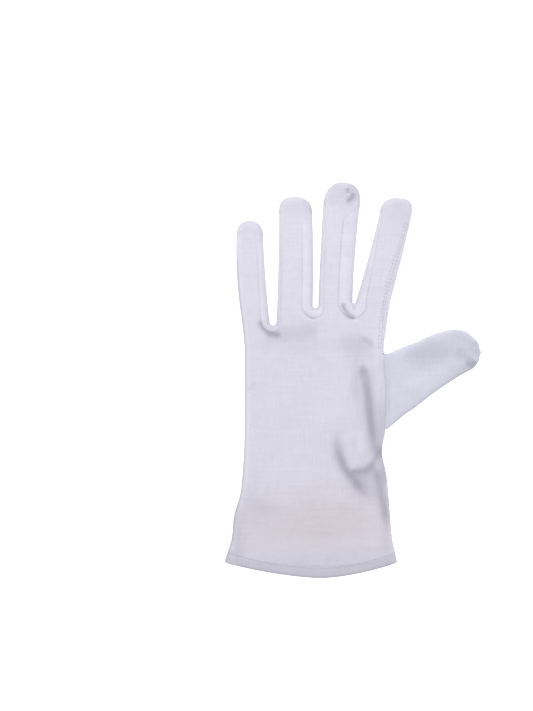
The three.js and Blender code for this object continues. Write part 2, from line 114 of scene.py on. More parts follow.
def segment_distance(
    x: Array, y: Array, start: Sequence[float], end: Sequence[float]
) -> tuple[Array, Array]:
    """How far points lie from a segment, and level with what share of it.

    Args:
        x: x of the points.
        y: y of the points.
        start: Where the segment starts.
        end: Where it ends.

    Returns:
        The distances, and the shares: the way to the point along the segment over its length, held
        between 0 and 1.
    """
    way_x, way_y = end[0] - start[0], end[1] - start[1]
    squared = max(way_x * way_x + way_y * way_y, TINY)
    t = np.clip(((x - start[0]) * way_x + (y - start[1]) * way_y) / squared, 0.0, 1.0)
    return np.hypot(x - start[0] - way_x * t, y - start[1] - way_y * t), t


def crowded(count: int, start: bool, end: bool) -> Array:
    """Shares from 0 to 1 in count steps, closer together towards the ends named."""
    t = np.linspace(0.0, 1.0, count + 1)
    first = 1.0 - np.cos(t * QUARTER) if start else t
    last = np.sin(t * QUARTER) if end else t
    return mix(first, last, t)


@dataclass(frozen=True)
class Curve:
    """A smooth curve through the values of one column of a table."""

    at: tuple[float, ...]
    values: tuple[float, ...]

    def __call__(self, where: Array) -> Array:
        """The curve at some places: cubic pieces; a row's slope is that between its neighbours."""
        at, values = np.array(self.at), np.array(self.values)
        last = len(at) - 1
        order = np.arange(last + 1)
        before, after = np.maximum(order - 1, 0), np.minimum(order + 1, last)
        slope = (values[after] - values[before]) / (at[after] - at[before])
        k = np.clip(np.searchsorted(at, where, side="right") - 1, 0, last - 1)
        span = at[k + 1] - at[k]
        t = np.clip((where - at[k]) / span, 0.0, 1.0)
        rest = 1.0 - t
        return (
            values[k] * (1 + 2 * t) * rest * rest
            + values[k + 1] * (3 - 2 * t) * t * t
            + span * (slope[k] * t * rest * rest - slope[k + 1] * t * t * rest)
        )


# ----------------------------------------------------------------------------
# Tables of the plan
# ----------------------------------------------------------------------------


@dataclass(frozen=True)
class EdgeRow:
    """The hand's two edges at one height, as shares of half a width; up is a share of the palm."""

    up: float
    width: float
    left: float
    right: float


@dataclass(frozen=True)
class Crotch:
    """The bottom of a gap between two fingers.

    seam and under are how far below it the seams of the back and of the palm pass.
    """

    name: str
    x: float
    y: float
    radius: float
    seam: float
    under: float


@dataclass(frozen=True)
class FingerRow:
    """A finger: millimetres, degrees, and shares of its width.

    lean is its slope to the right and tilt that of its end. end is the length of the rounded end
    and the bows are the swelling of its sides, as shares of the width. A squareness of 2 is a round
    end. The seams are how far in from the outline they run at the root and near the end.
    """

    name: str
    length: float
    width: float
    lean: float
    tilt: float
    end: float
    square_left: float
    square_right: float
    bow_left: float
    bow_right: float
    seam_left: tuple[float, float]
    seam_right: tuple[float, float]


@dataclass(frozen=True)
class Station:
    """A section of the thumb: along is a share of its reach, the others of its root's width."""

    along: float
    upper: float
    lower: float


@dataclass(frozen=True)
class Fold:
    """A fold, crease or swelling along a line of points.

    depth is how far it sinks, in millimetres, or rises where it is below zero, and tone the painted
    shade along it, a painted highlight where it is below zero. It fades out over a share of its
    length at both ends.
    """

    line: tuple[tuple[float, float], ...]
    width: float
    depth: float
    # painted shade along the fold; below zero a painted highlight
    tone: float = 0.0
    fade: float = 0.3

    def bell(self, x: Array, y: Array, widen: float = 1.0) -> Array:
        """How strongly the fold works at some points.

        Args:
            x: x of the points.
            y: y of the points.
            widen: How much wider than the fold itself the bell is.

        Returns:
            A bell across the line, exp of minus the squared distance over the width, times an S up
            over the first share of the length and down over the last; the width narrows with it.
        """
        points = np.array(self.line)
        runs = np.concatenate([[0.0], np.cumsum(np.hypot(*np.diff(points, axis=0).T))])
        away = np.full(np.broadcast(x, y).shape, np.inf)
        level = np.zeros(away.shape)
        for k in range(len(points) - 1):
            distance, t = segment_distance(x, y, points[k], points[k + 1])
            level = np.where(distance < away, mix(runs[k], runs[k + 1], t), level)
            away = np.minimum(away, distance)
        share = level / runs[-1]
        ends = ramp(share, 0, self.fade) * (1 - ramp(share, 1 - self.fade, 1)) if self.fade else 1.0
        return ends * np.exp(-((away / (widen * self.width * (0.5 + 0.5 * ends))) ** 2))


@dataclass(frozen=True)
class Patch:
    """A soft patch of painted shade, painted light or tint: its middle, half sizes and lean, and
    its colour multiplier.
    """

    x: float
    y: float
    half_x: float
    half_y: float
    lean: float
    shade: tuple[float, float, float]


# The widths of hem, wrist and palm, and the palm's length up to the highest crotch, in millimetres
HEM = 104.0
WRIST = 83.0
PALM = 88.8
LENGTH = 165.5

EDGES = (
    EdgeRow(0.0, HEM, 1.05, 0.975),
    EdgeRow(0.055, HEM, 1.035, 0.96),
    EdgeRow(0.14, HEM, 0.955, 0.905),
    EdgeRow(0.225, HEM, 0.925, 0.88),
    EdgeRow(0.3, WRIST, 1.073, 1.08),
    EdgeRow(0.375, WRIST, 1.038, 1.047),
    EdgeRow(0.455, WRIST, 1.018, 0.986),
    EdgeRow(0.535, PALM, 0.941, 0.968),
    EdgeRow(0.7, PALM, 0.939, 0.984),
    EdgeRow(0.825, PALM, 0.941, 0.945),
    EdgeRow(0.9, PALM, 0.966, 0.978),
    EdgeRow(0.935, PALM, 0.978, 0.995),
    EdgeRow(1.0, PALM, 1.0, 1.032),
)

CROTCHES = (
    Crotch("little_ring", -0.277 * PALM, 0.926 * LENGTH, 0.022 * PALM, 0.049 * PALM, 0.03 * PALM),
    Crotch("ring_middle", 0.01 * PALM, 0.987 * LENGTH, 0.018 * PALM, 0.074 * PALM, 0.036 * PALM),
    Crotch("middle_index", 0.272 * PALM, LENGTH, 0.011 * PALM, 0.105 * PALM, 0.036 * PALM),
)

FINGERS = (
    FingerRow(
        "little", 61.0, 16.2, -3.4, 0, 0.55, 2.3, 2.2, 0.08, -0.03, (0.055, 0.055), (0.335, 0.2)
    ),
    FingerRow("ring", 70.2, 20.2, 0.5, 0, 0.48, 2.9, 2.3, -0.02, 0.02, (0.11, 0.045), (0.34, 0.34)),
    FingerRow("middle", 72.8, 22.2, 3.7, 4, 0.62, 2.2, 3.0, 0.01, -0.03, (0.12, 0.1), (0.4, 0.42)),
    FingerRow("index", 64.0, 19.4, 13, 4, 0.46, 2.1, 3.4, -0.02, 0.02, (0.31, 0.05), (0.215, 0.08)),
)

THUMB = (
    Station(0.0, 0.5, -0.5),
    Station(0.1, 0.56, -0.39),
    Station(0.2, 0.613, -0.29),
    Station(0.31, 0.665, -0.195),
    Station(0.49, 0.765, -0.02),
    Station(0.68, 0.828, 0.14),
    Station(0.82, 0.81, 0.25),
    Station(0.91, 0.73, 0.31),
    Station(0.965, 0.655, 0.395),
    Station(1.0, 0.54, 0.5),
)

# Folds of the back, in millimetres of the plan; each one's tone is painted shade along it, or a
# painted highlight where it is below zero
FOLDS = (
    # under the gap between middle and index finger
    Fold(((12.0, 141.0), (25.0, 139.8), (39.0, 136.0)), 5.5, 1.0, 0.09, 0.35),
    Fold(((25.0, 145.0), (31.8, 141.6), (38.0, 135.6)), 1.6, 0.6, 0.14, 0.4),
    Fold(((26.6, 137.4), (24.6, 126.0), (24.2, 108.0), (27.0, 99.0)), 3.0, 0.3, 0.07),
    # the deep fold down beside the thumb's root
    Fold(
        (
            (27.6, 128.4), (30.6, 119.6), (32.4, 108.8), (33.0, 101.6), (33.8, 92.6), (36.0, 79.0),
            (37.2, 71.0),
        ),
        2.5, 1.7, 0.17, 0.12,
    ),
    Fold(
        ((28.6, 129.0), (31.2, 117.0), (33.2, 103.0), (35.0, 88.0), (37.0, 68.0)),
        5.0, 0.3, 0.125, 0.15,
    ),
    Fold(
        ((30.2, 120.0), (32.4, 108.8), (33.0, 101.6), (33.8, 92.6), (35.6, 81.0)),
        1.3, 0.5, 0.09, 0.2,
    ),
    Fold(
        ((41.0, 112.0), (41.0, 92.0), (40.8, 80.0), (40.6, 66.0), (43.0, 52.0)),
        2.6, 0.4, 0.13, 0.25,
    ),
    Fold(((41.4, 80.0), (41.4, 72.0), (42.0, 63.0), (43.8, 53.0)), 2.6, 0.5, 0.2, 0.25),
    Fold(((28.4, 129.0), (30.2, 121.0)), 3.0, 0.3, 0.1),
    # the fold that comes down beside the heel of the thumb
    Fold(
        (
            (12.6, 90.0), (14.0, 79.0), (15.0, 72.4), (17.6, 66.0), (22.6, 59.4), (28.4, 52.0),
            (33.6, 46.0),
        ),
        3.0, 1.5, 0.28, 0.33,
    ),
    Fold(((14.4, 78.0), (18.2, 66.0), (27.6, 55.0)), 1.7, 0.5, 0.15, 0.35),
    Fold(((22.0, 58.5), (29.0, 53.0), (33.0, 50.0)), 4.0, 0.3, 0.07),
    # across from it to the edge
    Fold(
        (
            (21.0, 63.0), (26.4, 63.2), (31.2, 64.0), (34.2, 66.8), (36.4, 70.6), (38.4, 74.0),
            (41.6, 80.0),
        ),
        2.3, 1.4, 0.25, 0.1,
    ),
    Fold(((22.0, 62.4), (28.0, 62.0), (34.0, 63.6), (38.6, 68.6)), 5.0, 0.3, 0.15, 0.25),
    Fold(
        ((33.6, 69.0), (37.2, 62.4), (39.2, 55.4), (40.8, 47.0), (42.4, 38.0), (44.0, 28.0)),
        2.9, 1.2, 0.29, 0.25,
    ),
    Fold(((24.0, 60.0), (31.0, 54.0), (38.0, 46.0)), 5.6, 0.3, 0.1),
    # the swollen pads between the folds, with a painted highlight, each with its faint ribs
    Fold(((24.6, 90.0), (29.0, 70.0)), 5.0, -0.9, -0.03),
    Fold(((19.0, 88.0), (22.4, 70.0)), 1.6, -0.4, -0.03),
    Fold(((27.6, 90.0), (28.8, 72.0)), 1.6, -0.4, -0.03),
    Fold(((23.2, 88.0), (25.2, 72.0)), 1.0, 0.3, 0.04),
    Fold(((39.0, 126.0), (39.2, 112.0), (39.4, 103.0)), 2.0, -0.4, -0.02),
    # small and shallow ones
    Fold(((-41.4, 110.0), (-38.0, 113.0), (-34.0, 116.6)), 1.3, 0.35, 0.06),
    Fold(((-34.0, 117.0), (-26.0, 119.5), (-18.0, 119.0)), 3.0, 0.25, 0.012),
    Fold(((-31.0, 99.0), (-12.0, 100.0)), 3.0, 0.2, 0.0),
    Fold(((4.0, 137.0), (13.0, 139.0), (22.0, 136.0)), 3.0, 0.3, 0.01),
    Fold(((-14.0, 52.0), (6.0, 60.0), (12.0, 57.0)), 5.0, -0.3, 0.0),
    Fold(((-40.0, 44.0), (-22.0, 40.0), (-8.0, 43.0)), 4.5, 0.3, 0.015),
    Fold(((-34.0, 60.0), (-16.0, 63.0)), 5.0, -0.25, 0.0),
    Fold(((-8.0, 28.0), (18.0, 24.0), (38.0, 30.0)), 5.0, 0.25, 0.015),
    # puckers at the middle finger's tip
    Fold(
        ((18.6, 234.6), (22.8, 233.6), (24.8, 230.0), (22.6, 226.0), (17.6, 223.6)),
        2.2, 0.5, 0.11, 0.2,
    ),
    Fold(((19.9, 233.2), (20.6, 230.4)), 1.1, 0.9, 0.27, 0.1),
    Fold(((19.2, 225.2), (22.4, 227.2), (24.2, 230.8)), 1.2, 0.9, 0.27, 0.15),
    Fold(((25.0, 229.0), (24.8, 225.0)), 1.4, 0.4, 0.05),
    Fold(((22.2, 233.8), (23.2, 232.6)), 0.7, -0.5, -0.05, 0.0),
    # the cuff's two lower corners, with painted shade
    Fold(((-52.6, 8.0), (-49.8, 18.0)), 2.4, 0.2, 0.13),
    Fold(((49.6, 8.0), (48.4, 20.0)), 1.6, 0.2, 0.13),
    # painted shade on stretches of the side strips
    Fold(((33.4, 190.0), (30.6, 171.0)), 1.2, 0.2, 0.07),
    Fold(((20.0, 218.0), (20.8, 203.0)), 3.2, 0.2, 0.06),
    Fold(((19.4, 201.0), (20.2, 190.0)), 3.2, 0.2, 0.05),
    # puckers at the ring and little fingers' tips
    Fold(((-7.4, 226.8), (-4.6, 222.4), (-2.4, 217.6)), 1.6, 0.5, 0.05),
    Fold(((-2.4, 222.6), (-1.4, 218.6)), 0.9, 0.4, 0.07),
    Fold(((-34.6, 219.8), (-33.2, 214.0)), 1.0, 0.4, 0.04),
)

# The loops of the side strips where they turn round the crotches: painted shadow under the loop, a
# painted highlight on the rim below it, and a pip of painted shade in the last one
LOOPS = (
    Fold(((-33.4, 155.0), (-31.0, 149.8), (-27.0, 146.2), (-19.0, 145.0)), 1.7, 0.8, 0.29, 0.15),
    Fold(((-30.0, 147.6), (-23.0, 144.2), (-9.0, 145.6), (4.0, 149.0)), 4.4, 0.7, 0.1, 0.15),
    Fold(((-6.2, 160.0), (-3.8, 157.0), (-0.8, 155.5), (3.4, 157.2)), 0.85, 0.6, 0.13, 0.15),
    Fold(((17.0, 165.4), (18.0, 160.6), (20.8, 156.9), (25.2, 155.2)), 1.3, 0.7, 0.38, 0.15),
    Fold(((23.9, 162.3), (24.3, 161.7)), 0.8, 0.5, 0.2, 0.0),
    Fold(((-6.6, 158.6), (-4.0, 155.4), (-0.6, 154.0), (3.8, 155.8)), 1.2, -0.4, -0.07, 0.2),
    Fold(((20.4, 154.6), (24.6, 153.2), (28.4, 154.2)), 1.0, -0.5, -0.06),
)

# Patches of painted shade and painted light on the back, and a pink tint of the cloth, as
# multipliers of red, green and blue
SHADE_LIGHT_AND_TINT_PATCHES = (
    Patch(-5.0, 34.0, 60.0, 17.0, 0.0, (0.915, 0.897, 0.9)),
    Patch(0.0, 4.0, 70.0, 13.0, 0.0, (0.885, 0.89, 0.905)),
    Patch(7.0, 33.0, 36.0, 15.0, -4.0, (1.018, 0.965, 0.958)),
    Patch(-30.0, 42.0, 12.0, 5.0, 0.0, (0.96, 0.96, 0.965)),
    Patch(-17.0, 43.0, 7.0, 5.0, 0.0, (1.03, 1.03, 1.03)),
    Patch(24.0, 14.0, 10.0, 6.0, 0.0, (0.97, 0.97, 0.97)),
    Patch(-47.5, 27.0, 5.0, 30.0, -6.0, (0.88, 0.88, 0.89)),
    Patch(45.5, 36.0, 5.0, 34.0, 6.0, (0.9, 0.9, 0.91)),
    Patch(26.0, 78.0, 12.0, 14.0, 0.0, (0.965, 0.965, 0.965)),
    Patch(6.0, 200.0, 60.0, 40.0, 0.0, (1.055, 1.055, 1.055)),
    Patch(22.5, 137.0, 6.0, 8.0, 0.0, (0.945, 0.945, 0.95)),
    Patch(12.0, 79.0, 6.0, 10.0, 0.0, (0.96, 0.96, 0.965)),
    Patch(27.0, 106.0, 4.0, 14.0, 0.0, (0.955, 0.955, 0.96)),
    Patch(14.0, 114.0, 8.0, 26.0, 0.0, (1.02, 1.02, 1.02)),
    Patch(-2.0, 150.0, 12.0, 6.0, 0.0, (0.955, 0.955, 0.96)),
    Patch(-23.0, 146.0, 12.0, 7.0, 0.0, (0.95, 0.95, 0.955)),
    Patch(-40.0, 48.0, 9.0, 14.0, 0.0, (0.945, 0.945, 0.95)),
    Patch(-8.0, 139.0, 26.0, 5.0, 0.0, (0.965, 0.965, 0.97)),
    Patch(30.0, 134.0, 8.0, 9.0, 0.0, (0.965, 0.965, 0.975)),
    Patch(37.0, 92.0, 5.0, 18.0, 0.0, (0.915, 0.915, 0.925)),
    Patch(39.6, 142.0, 4.5, 9.0, 0.0, (1.07, 1.07, 1.07)),
    Patch(30.0, 54.0, 12.0, 9.0, 24.0, (0.93, 0.925, 0.935)),
    Patch(-12.0, 223.0, 12.0, 7.0, 0.0, (0.96, 0.96, 0.965)),
    Patch(18.0, 231.0, 13.0, 8.0, 0.0, (0.925, 0.925, 0.935)),
    Patch(52.0, 218.0, 10.0, 10.0, 0.0, (0.95, 0.95, 0.96)),
    Patch(-39.0, 208.0, 9.0, 5.0, 0.0, (0.975, 0.975, 0.98)),
)

# How much of a fold's painted shade red, green and blue take: the painted shadow is bluer than the
# cloth
PAINTED_SHADOW_TINT = (1.0, 0.985, 0.92)


@dataclass(frozen=True)
class Finger:
    """The plan of one finger: its root, its end and its two sides."""

    row: FingerRow
    before: Crotch | None
    after: Crotch | None
    edge: Callable[[Side, Array], Array]
    beyond: float = 1.2

    @property
    def half(self) -> float:
        """Half the finger's width."""
        return self.row.width / 2

    @property
    def end_length(self) -> float:
        """The length of the rounded end."""
        return self.row.end * self.row.width

    @property
    def along(self) -> Array:
        """The direction of the end, up the finger."""
        tilt = math.radians(self.row.tilt)
        return np.array([math.sin(tilt), math.cos(tilt)])

    @property
    def across(self) -> Array:
        """The direction across the end, to the right."""
        return np.array([self.along[1], -self.along[0]])

    def crotch(self, side: Side) -> Crotch | None:
        """The crotch on one side, or None on an outer side of the hand."""
        return self.before if side is Side.LEFT else self.after

    def root(self, side: Side) -> Array:
        """Where one side starts: by its crotch, or on the hand's edge level with the other one."""
        own = self.crotch(side)
        if own:
            return np.array([own.x + side.value * own.radius, own.y])
        other = self.after if side is Side.LEFT else self.before
        return np.array([float(self.edge(side, np.array(other.y))), other.y])

    @property
    def centre(self) -> Array:
        """The middle of the line at which the rounded end starts."""
        lean = math.radians(self.row.lean)
        axis = np.array([math.sin(lean), math.cos(lean)])
        tip = (self.root(Side.LEFT) + self.root(Side.RIGHT)) / 2 + axis * self.row.length
        return tip - self.along * self.end_length

    def end(self, side: Side) -> Array:
        """Where one side meets the rounded end."""
        return self.centre - side.value * self.across * self.half

    def square(self, side: Side) -> float:
        """The squareness of one half of the rounded end."""
        return self.row.square_left if side is Side.LEFT else self.row.square_right

    def seam(self, side: Side) -> tuple[float, float]:
        """How far in the seam above runs on one side, at the root and near the end."""
        shares = self.row.seam_left if side is Side.LEFT else self.row.seam_right
        return shares[0] * self.row.width, shares[1] * self.row.width

    def side_point(self, side: Side, t: Array, inset: Array) -> Array:
        """A point of one side.

        Args:
            side: The side.
            t: The share of its length, from the root.
            inset: How far in from the outline.

        Returns:
            x and y: straight from root to end, swollen outwards by bow times 4t(1 - t).
        """
        bow = self.row.bow_left if side is Side.LEFT else self.row.bow_right
        start, stop = self.root(side), self.end(side)
        swell = bow * self.row.width * 4 * t * (1 - t)
        x = mix(start[0], stop[0], t) + side.value * (inset - swell)
        return np.stack(np.broadcast_arrays(x, mix(start[1], stop[1], t)), axis=-1)

    def side_x(self, side: Side, y: Array) -> Array:
        """The x of one side at height y, carried on a little beyond its end."""
        start, stop = self.root(side), self.end(side)
        t = np.clip((y - start[1]) / (stop[1] - start[1]), 0.0, self.beyond)
        return self.side_point(side, t, 0.0)[..., 0]


@dataclass(frozen=True)
class Plan:
    """The plan of the whole glove: outline, seams and the heights of the cloth."""

    hem_height: float = 6.2
    hem_sag: float = 9.2
    hem_lowest: float = 0.56
    hem_curve: float = 1.6
    hem_tuck: float = 0.6
    cuff_thickness: float = 9.6
    hand_thickness: float = 10.6
    finger_thickness: float = 7.8
    cuff_to_hand: tuple[float, float] = (0.05, 0.55)
    hand_to_finger: tuple[float, float] = (0.78, 1.06)
    widest: float = 3.6
    top_roll: float = 5.2
    under_roll: float = 4.2
    edge_seam: float = 0.9
    palm_seam: float = 2.6
    strip_taper: float = 0.84
    under_taper: float = 0.8
    outer_start: float = 0.09
    thumb_rise: float = 111.2
    thumb_root: float = 45.6
    thumb_reach: float = 56.8
    thumb_clearance: float = 0.15
    thumb_lift: float = 0.35
    groove_width: float = 0.5
    groove_depth: float = 0.16
    groove_fade: float = 0.05
    # these paint shade in the seam grooves, stronger down the left side, and along the outline
    seam_shade: float = 0.05
    left_seam_shade: float = 0.22
    outline_shade: float = 0.08
    outline_width: float = 1.1
    seam_start: float = 8.0
    seams: tuple[Fold, ...] = ()

    @property
    def fingers(self) -> tuple[Finger, ...]:
        """The fingers from the little one on, each with the crotches beside it."""
        gaps = (None, *CROTCHES, None)
        return tuple(
            Finger(row, gaps[k], gaps[k + 1], self.edge) for k, row in enumerate(FINGERS)
        )

    @property
    def window(self) -> tuple[float, float]:
        """The stretch of the right edge that the thumb passes through."""
        reach = self.thumb_root / 2 + self.thumb_clearance
        return self.thumb_rise - reach, self.thumb_rise + reach

    def edge(self, side: Side, y: Array) -> Array:
        """The x of the hand's own edge at height y."""
        shares = (row.left if side is Side.LEFT else row.right for row in EDGES)
        column = tuple(share * row.width / 2 for share, row in zip(shares, EDGES))
        half = Curve(tuple(row.up for row in EDGES), column)(np.asarray(y, dtype=float) / LENGTH)
        return -side.value * half

    def hem_line(self, share: Array) -> Array:
        """The height of the hem's lower edge at a share of the way across: two power curves."""
        width = np.where(share < self.hem_lowest, self.hem_lowest, 1 - self.hem_lowest)
        return self.hem_sag * (np.abs(share - self.hem_lowest) / width) ** self.hem_curve

    def inset(self, x: Array, y: Array) -> Array:
        """How far in from the outline points lie.

        Args:
            x: x of the points.
            y: y of the points.

        Returns:
            The least distance along x to the hand's edges or finger sides, round to the crotches,
            or in from the rounded ends, and never below zero.
        """
        fingers = self.fingers
        first, last = fingers[0], fingers[-1]
        left = np.where(
            y < first.root(Side.LEFT)[1], self.edge(Side.LEFT, y), first.side_x(Side.LEFT, y)
        )
        right = np.where(
            y < last.root(Side.RIGHT)[1], self.edge(Side.RIGHT, y), last.side_x(Side.RIGHT, y)
        )
        inset = np.minimum(x - left, right - x)
        for k, crotch in enumerate(CROTCHES):
            before = fingers[k].side_x(Side.RIGHT, y)
            after = fingers[k + 1].side_x(Side.LEFT, y)
            beside = np.where(x < (before + after) / 2, before - x, x - after)
            below = np.hypot(x - crotch.x, y - crotch.y) - crotch.radius
            inset = np.minimum(inset, np.where(y < crotch.y, below, beside))
        for finger in fingers:
            dx, dy = x - finger.centre[0], y - finger.centre[1]
            across = (dx * finger.across[0] + dy * finger.across[1]) / finger.half
            along = (dx * finger.along[0] + dy * finger.along[1]) / finger.end_length
            n = np.where(across < 0, finger.square(Side.LEFT), finger.square(Side.RIGHT))
            size = np.abs(np.where(np.abs(across) < 1, across, 0.0))
            radial = (size**n + np.maximum(along, 0.0) ** n) ** (1 / n)
            within = (along > 0) & (np.abs(across) < 1)
            inset = np.where(within, np.minimum(inset, (1 - radial) * finger.half), inset)
        return np.maximum(inset, 0.0)

    def thickness(self, y: Array) -> Array:
        """The glove's thickness at height y without folds: cuff, hand, then fingers."""
        up = y / LENGTH
        hand = mix(self.cuff_thickness, self.hand_thickness, ramp(up, *self.cuff_to_hand))
        return mix(hand, self.finger_thickness, ramp(up, *self.hand_to_finger))

    def beside_thumb(self, x: Array, y: Array) -> Array:
        """1 beside the stretch that the thumb passes through, 0 elsewhere."""
        low, high = self.window
        inside = ramp(y, low, low + self.under_roll) * (1 - ramp(y, high - self.under_roll, high))
        return np.where(x > 0, inside, 0.0)

    def sunk(self, x: Array, y: Array) -> Array:
        """How deep folds, loops and seams sink the back: the sum of their bell-shaped sections."""
        total = np.zeros(np.broadcast(x, y).shape)
        for fold in (*FOLDS, *LOOPS, *self.seams):
            total = total + fold.depth * fold.bell(x, y)
        return total

    def top(self, x: Array, y: Array) -> Array:
        """The height of the back: it turns down at the outline and is lifted over the thumb."""
        lift = self.thumb_lift * self.beside_thumb(x, y)
        turn = mix(rolled(self.inset(x, y), self.top_roll), 1.0, lift)
        return self.widest + (self.thickness(y) - self.widest - self.sunk(x, y)) * turn

    def under(self, x: Array, y: Array) -> Array:
        """The height of the palm: flat, turned up at the outline but for the thumb's stretch."""
        turn = mix(rolled(self.inset(x, y), self.under_roll), 1.0, self.beside_thumb(x, y))
        return self.widest * (1 - turn)

    def hand_seam(self, side: Side, y: Array) -> Array:
        """How far in the seam above runs on the hand's own edges."""
        finger = self.fingers[0 if side is Side.LEFT else -1]
        rise = ramp(y, self.window[1], finger.root(side)[1])
        return mix(self.edge_seam, finger.seam(side)[0], rise)

    def border(self, finger: Finger, side: Side, zone: Zone, t: Array, inset: Array) -> Array:
        """A point of a finger's border.

        Args:
            finger: The finger.
            side: Which side of it.
            zone: The stretch of the border.
            t: The share of that stretch, towards the tip.
            inset: How far in from the outline.

        Returns:
            x and y: on the crotch a quarter circle about its middle, on the side a straight line,
            and on the end a quarter of a rounded square.
        """
        t, inset = np.broadcast_arrays(np.asarray(t, dtype=float), np.asarray(inset, dtype=float))
        sign = side.value
        if zone is Zone.SIDE:
            return finger.side_point(side, t, inset)
        if zone is Zone.END:
            n = finger.square(side)
            across = np.maximum(np.cos(t * QUARTER), 0) ** (2 / n) * (finger.half - inset)
            along = np.maximum(np.sin(t * QUARTER), 0) ** (2 / n) * (finger.end_length - inset)
            right = sign * across[..., None] * finger.across
            return finger.centre - right + along[..., None] * finger.along
        crotch = finger.crotch(side)
        if crotch is None:
            top = finger.root(side)[1]
            y = mix(top - self.outer_start * PALM, top, t)
            return np.stack([self.edge(side, y) + sign * inset, y], axis=-1)
        reach = crotch.radius + inset
        x = crotch.x + sign * reach * np.sin(t * QUARTER)
        return np.stack([x, crotch.y - reach * np.cos(t * QUARTER)], axis=-1)

    def seam_inset(
        self, panel: Panel, finger: Finger, side: Side, zone: Zone, t: Array
    ) -> Array:
        """How far in from the outline a seam of the back or of the palm runs.

        Args:
            panel: The piece whose seam it is.
            finger: The finger.
            side: Which side of it.
            zone: The stretch of the border.
            t: The share of that stretch.

        Returns:
            The inset, even along the side and drawn in to the edge seam at the finger's end.
        """
        t = np.asarray(t, dtype=float)
        if zone is Zone.END:
            return np.full(t.shape, self.edge_seam)
        crotch = finger.crotch(side)
        if panel is Panel.PALM:
            main = self.palm_seam if crotch else self.edge_seam
            start = crotch.under if crotch else self.edge_seam
            if zone is Zone.CROTCH:
                return mix(start, main, t)
            return mix(main, self.edge_seam, ramp(t, self.under_taper, 1))
        root, end = finger.seam(side)
        if zone is Zone.CROTCH:
            if crotch:
                return mix(crotch.seam, root, t)
            return self.hand_seam(side, self.border(finger, side, zone, t, 0.0)[..., 1])
        return mix(mix(root, end, t), self.edge_seam, ramp(t, self.strip_taper, 1))

    def seam_point(
        self, panel: Panel, finger: Finger, side: Side, zone: Zone, t: Array
    ) -> Array:
        """A point of a panel's seam on a finger's border."""
        inset = self.seam_inset(panel, finger, side, zone, t)
        return self.border(finger, side, zone, t, inset)


# ----------------------------------------------------------------------------
# Shader nodes
# ----------------------------------------------------------------------------


# The vertex colour that holds each piece's painted shade and light, with its tint
SHADE = "shade"


@dataclass(frozen=True)
class Value:
    """A number in a shader, with the usual arithmetic."""

    graph: "Graph"
    socket: bpy.types.NodeSocket

    def _math(self, operation: str, *others: "Value | float") -> "Value":
        """The result of a Math node on this value and others."""
        inputs = dict(enumerate((self, *others)))
        node = self.graph.node("ShaderNodeMath", {"operation": operation}, inputs)
        return Value(self.graph, node.outputs[0])

    def __add__(self, other: "Value | float") -> "Value":
        """This plus other."""
        return self._math("ADD", other)

    def __radd__(self, other: float) -> "Value":
        """A number plus this."""
        return self._math("ADD", other)

    def __sub__(self, other: "Value | float") -> "Value":
        """This less other."""
        return self._math("SUBTRACT", other)

    def __rsub__(self, other: float) -> "Value":
        """A number less this."""
        return self._math("MULTIPLY_ADD", -1.0, other)

    def __mul__(self, other: "Value | float") -> "Value":
        """This times other."""
        return self._math("MULTIPLY", other)

    def __rmul__(self, other: float) -> "Value":
        """A number times this."""
        return self._math("MULTIPLY", other)

    def sine(self) -> "Value":
        """The sine of this, in radians."""
        return self._math("SINE")


@dataclass
class Graph:
    """The node tree of one material."""

    name: str
    material: bpy.types.Material = field(init=False)

    def __post_init__(self) -> None:
        """Makes the material with an empty tree."""
        self.material = bpy.data.materials.new(self.name)
        self.material.use_nodes = True
        self.material.node_tree.nodes.clear()

    def node(
        self,
        kind: str,
        settings: dict[str, object] | None = None,
        inputs: dict[str | int, object] | None = None,
    ) -> bpy.types.Node:
        """Adds a node.

        Args:
            kind: The node's type.
            settings: Its properties, set first.
            inputs: Its inputs by name or number: a Value or socket is linked, anything else is set.

        Returns:
            The node.
        """
        node = self.material.node_tree.nodes.new(kind)
        for key, value in (settings or {}).items():
            setattr(node, key, value)
        for key, value in (inputs or {}).items():
            source = value.socket if isinstance(value, Value) else value
            if isinstance(source, bpy.types.NodeSocket):
                self.material.node_tree.links.new(source, node.inputs[key])
            else:
                node.inputs[key].default_value = source
        return node

    def place(self) -> tuple[bpy.types.NodeSocket, Value, Value]:
        """The point in object coordinates, in metres, with its x and y."""
        point = self.node("ShaderNodeTexCoord").outputs["Object"]
        parts = self.node("ShaderNodeSeparateXYZ", inputs={0: point})
        return point, Value(self, parts.outputs[0]), Value(self, parts.outputs[1])

    def vector(self, operation: str, inputs: dict[str | int, object]) -> bpy.types.NodeSocket:
        """The result of a Vector Math node."""
        return self.node("ShaderNodeVectorMath", {"operation": operation}, inputs).outputs[0]

    def noise(
        self,
        point: bpy.types.NodeSocket,
        size: float,
        stretch: tuple[float, float, float] = (1, 1, 1),
    ) -> Value:
        """Noise between -0.5 and 0.5, with grains of a size in metres, stretched along axes."""
        scaled = self.vector("MULTIPLY", {0: point, 1: tuple(1 / (size * s) for s in stretch)})
        inputs = {"Vector": scaled, "Scale": 1.0, "Detail": 2.0}
        return Value(self, self.node("ShaderNodeTexNoise", inputs=inputs).outputs[0]) - 0.5

    def shaded(self, colour: tuple[float, float, float], level: Value) -> bpy.types.NodeSocket:
        """A colour times the piece's painted shade and light from its vertex colour, times a level.
        """
        shade = self.node("ShaderNodeVertexColor", {"layer_name": SHADE}).outputs["Color"]
        tinted = self.vector("MULTIPLY", {0: shade, 1: colour})
        return self.vector("SCALE", {0: tinted, "Scale": level})

    def finish(self, shader: bpy.types.Node) -> bpy.types.Material:
        """Joins the last shader to the output."""
        self.node("ShaderNodeOutputMaterial", inputs={"Surface": shader.outputs[0]})
        return self.material


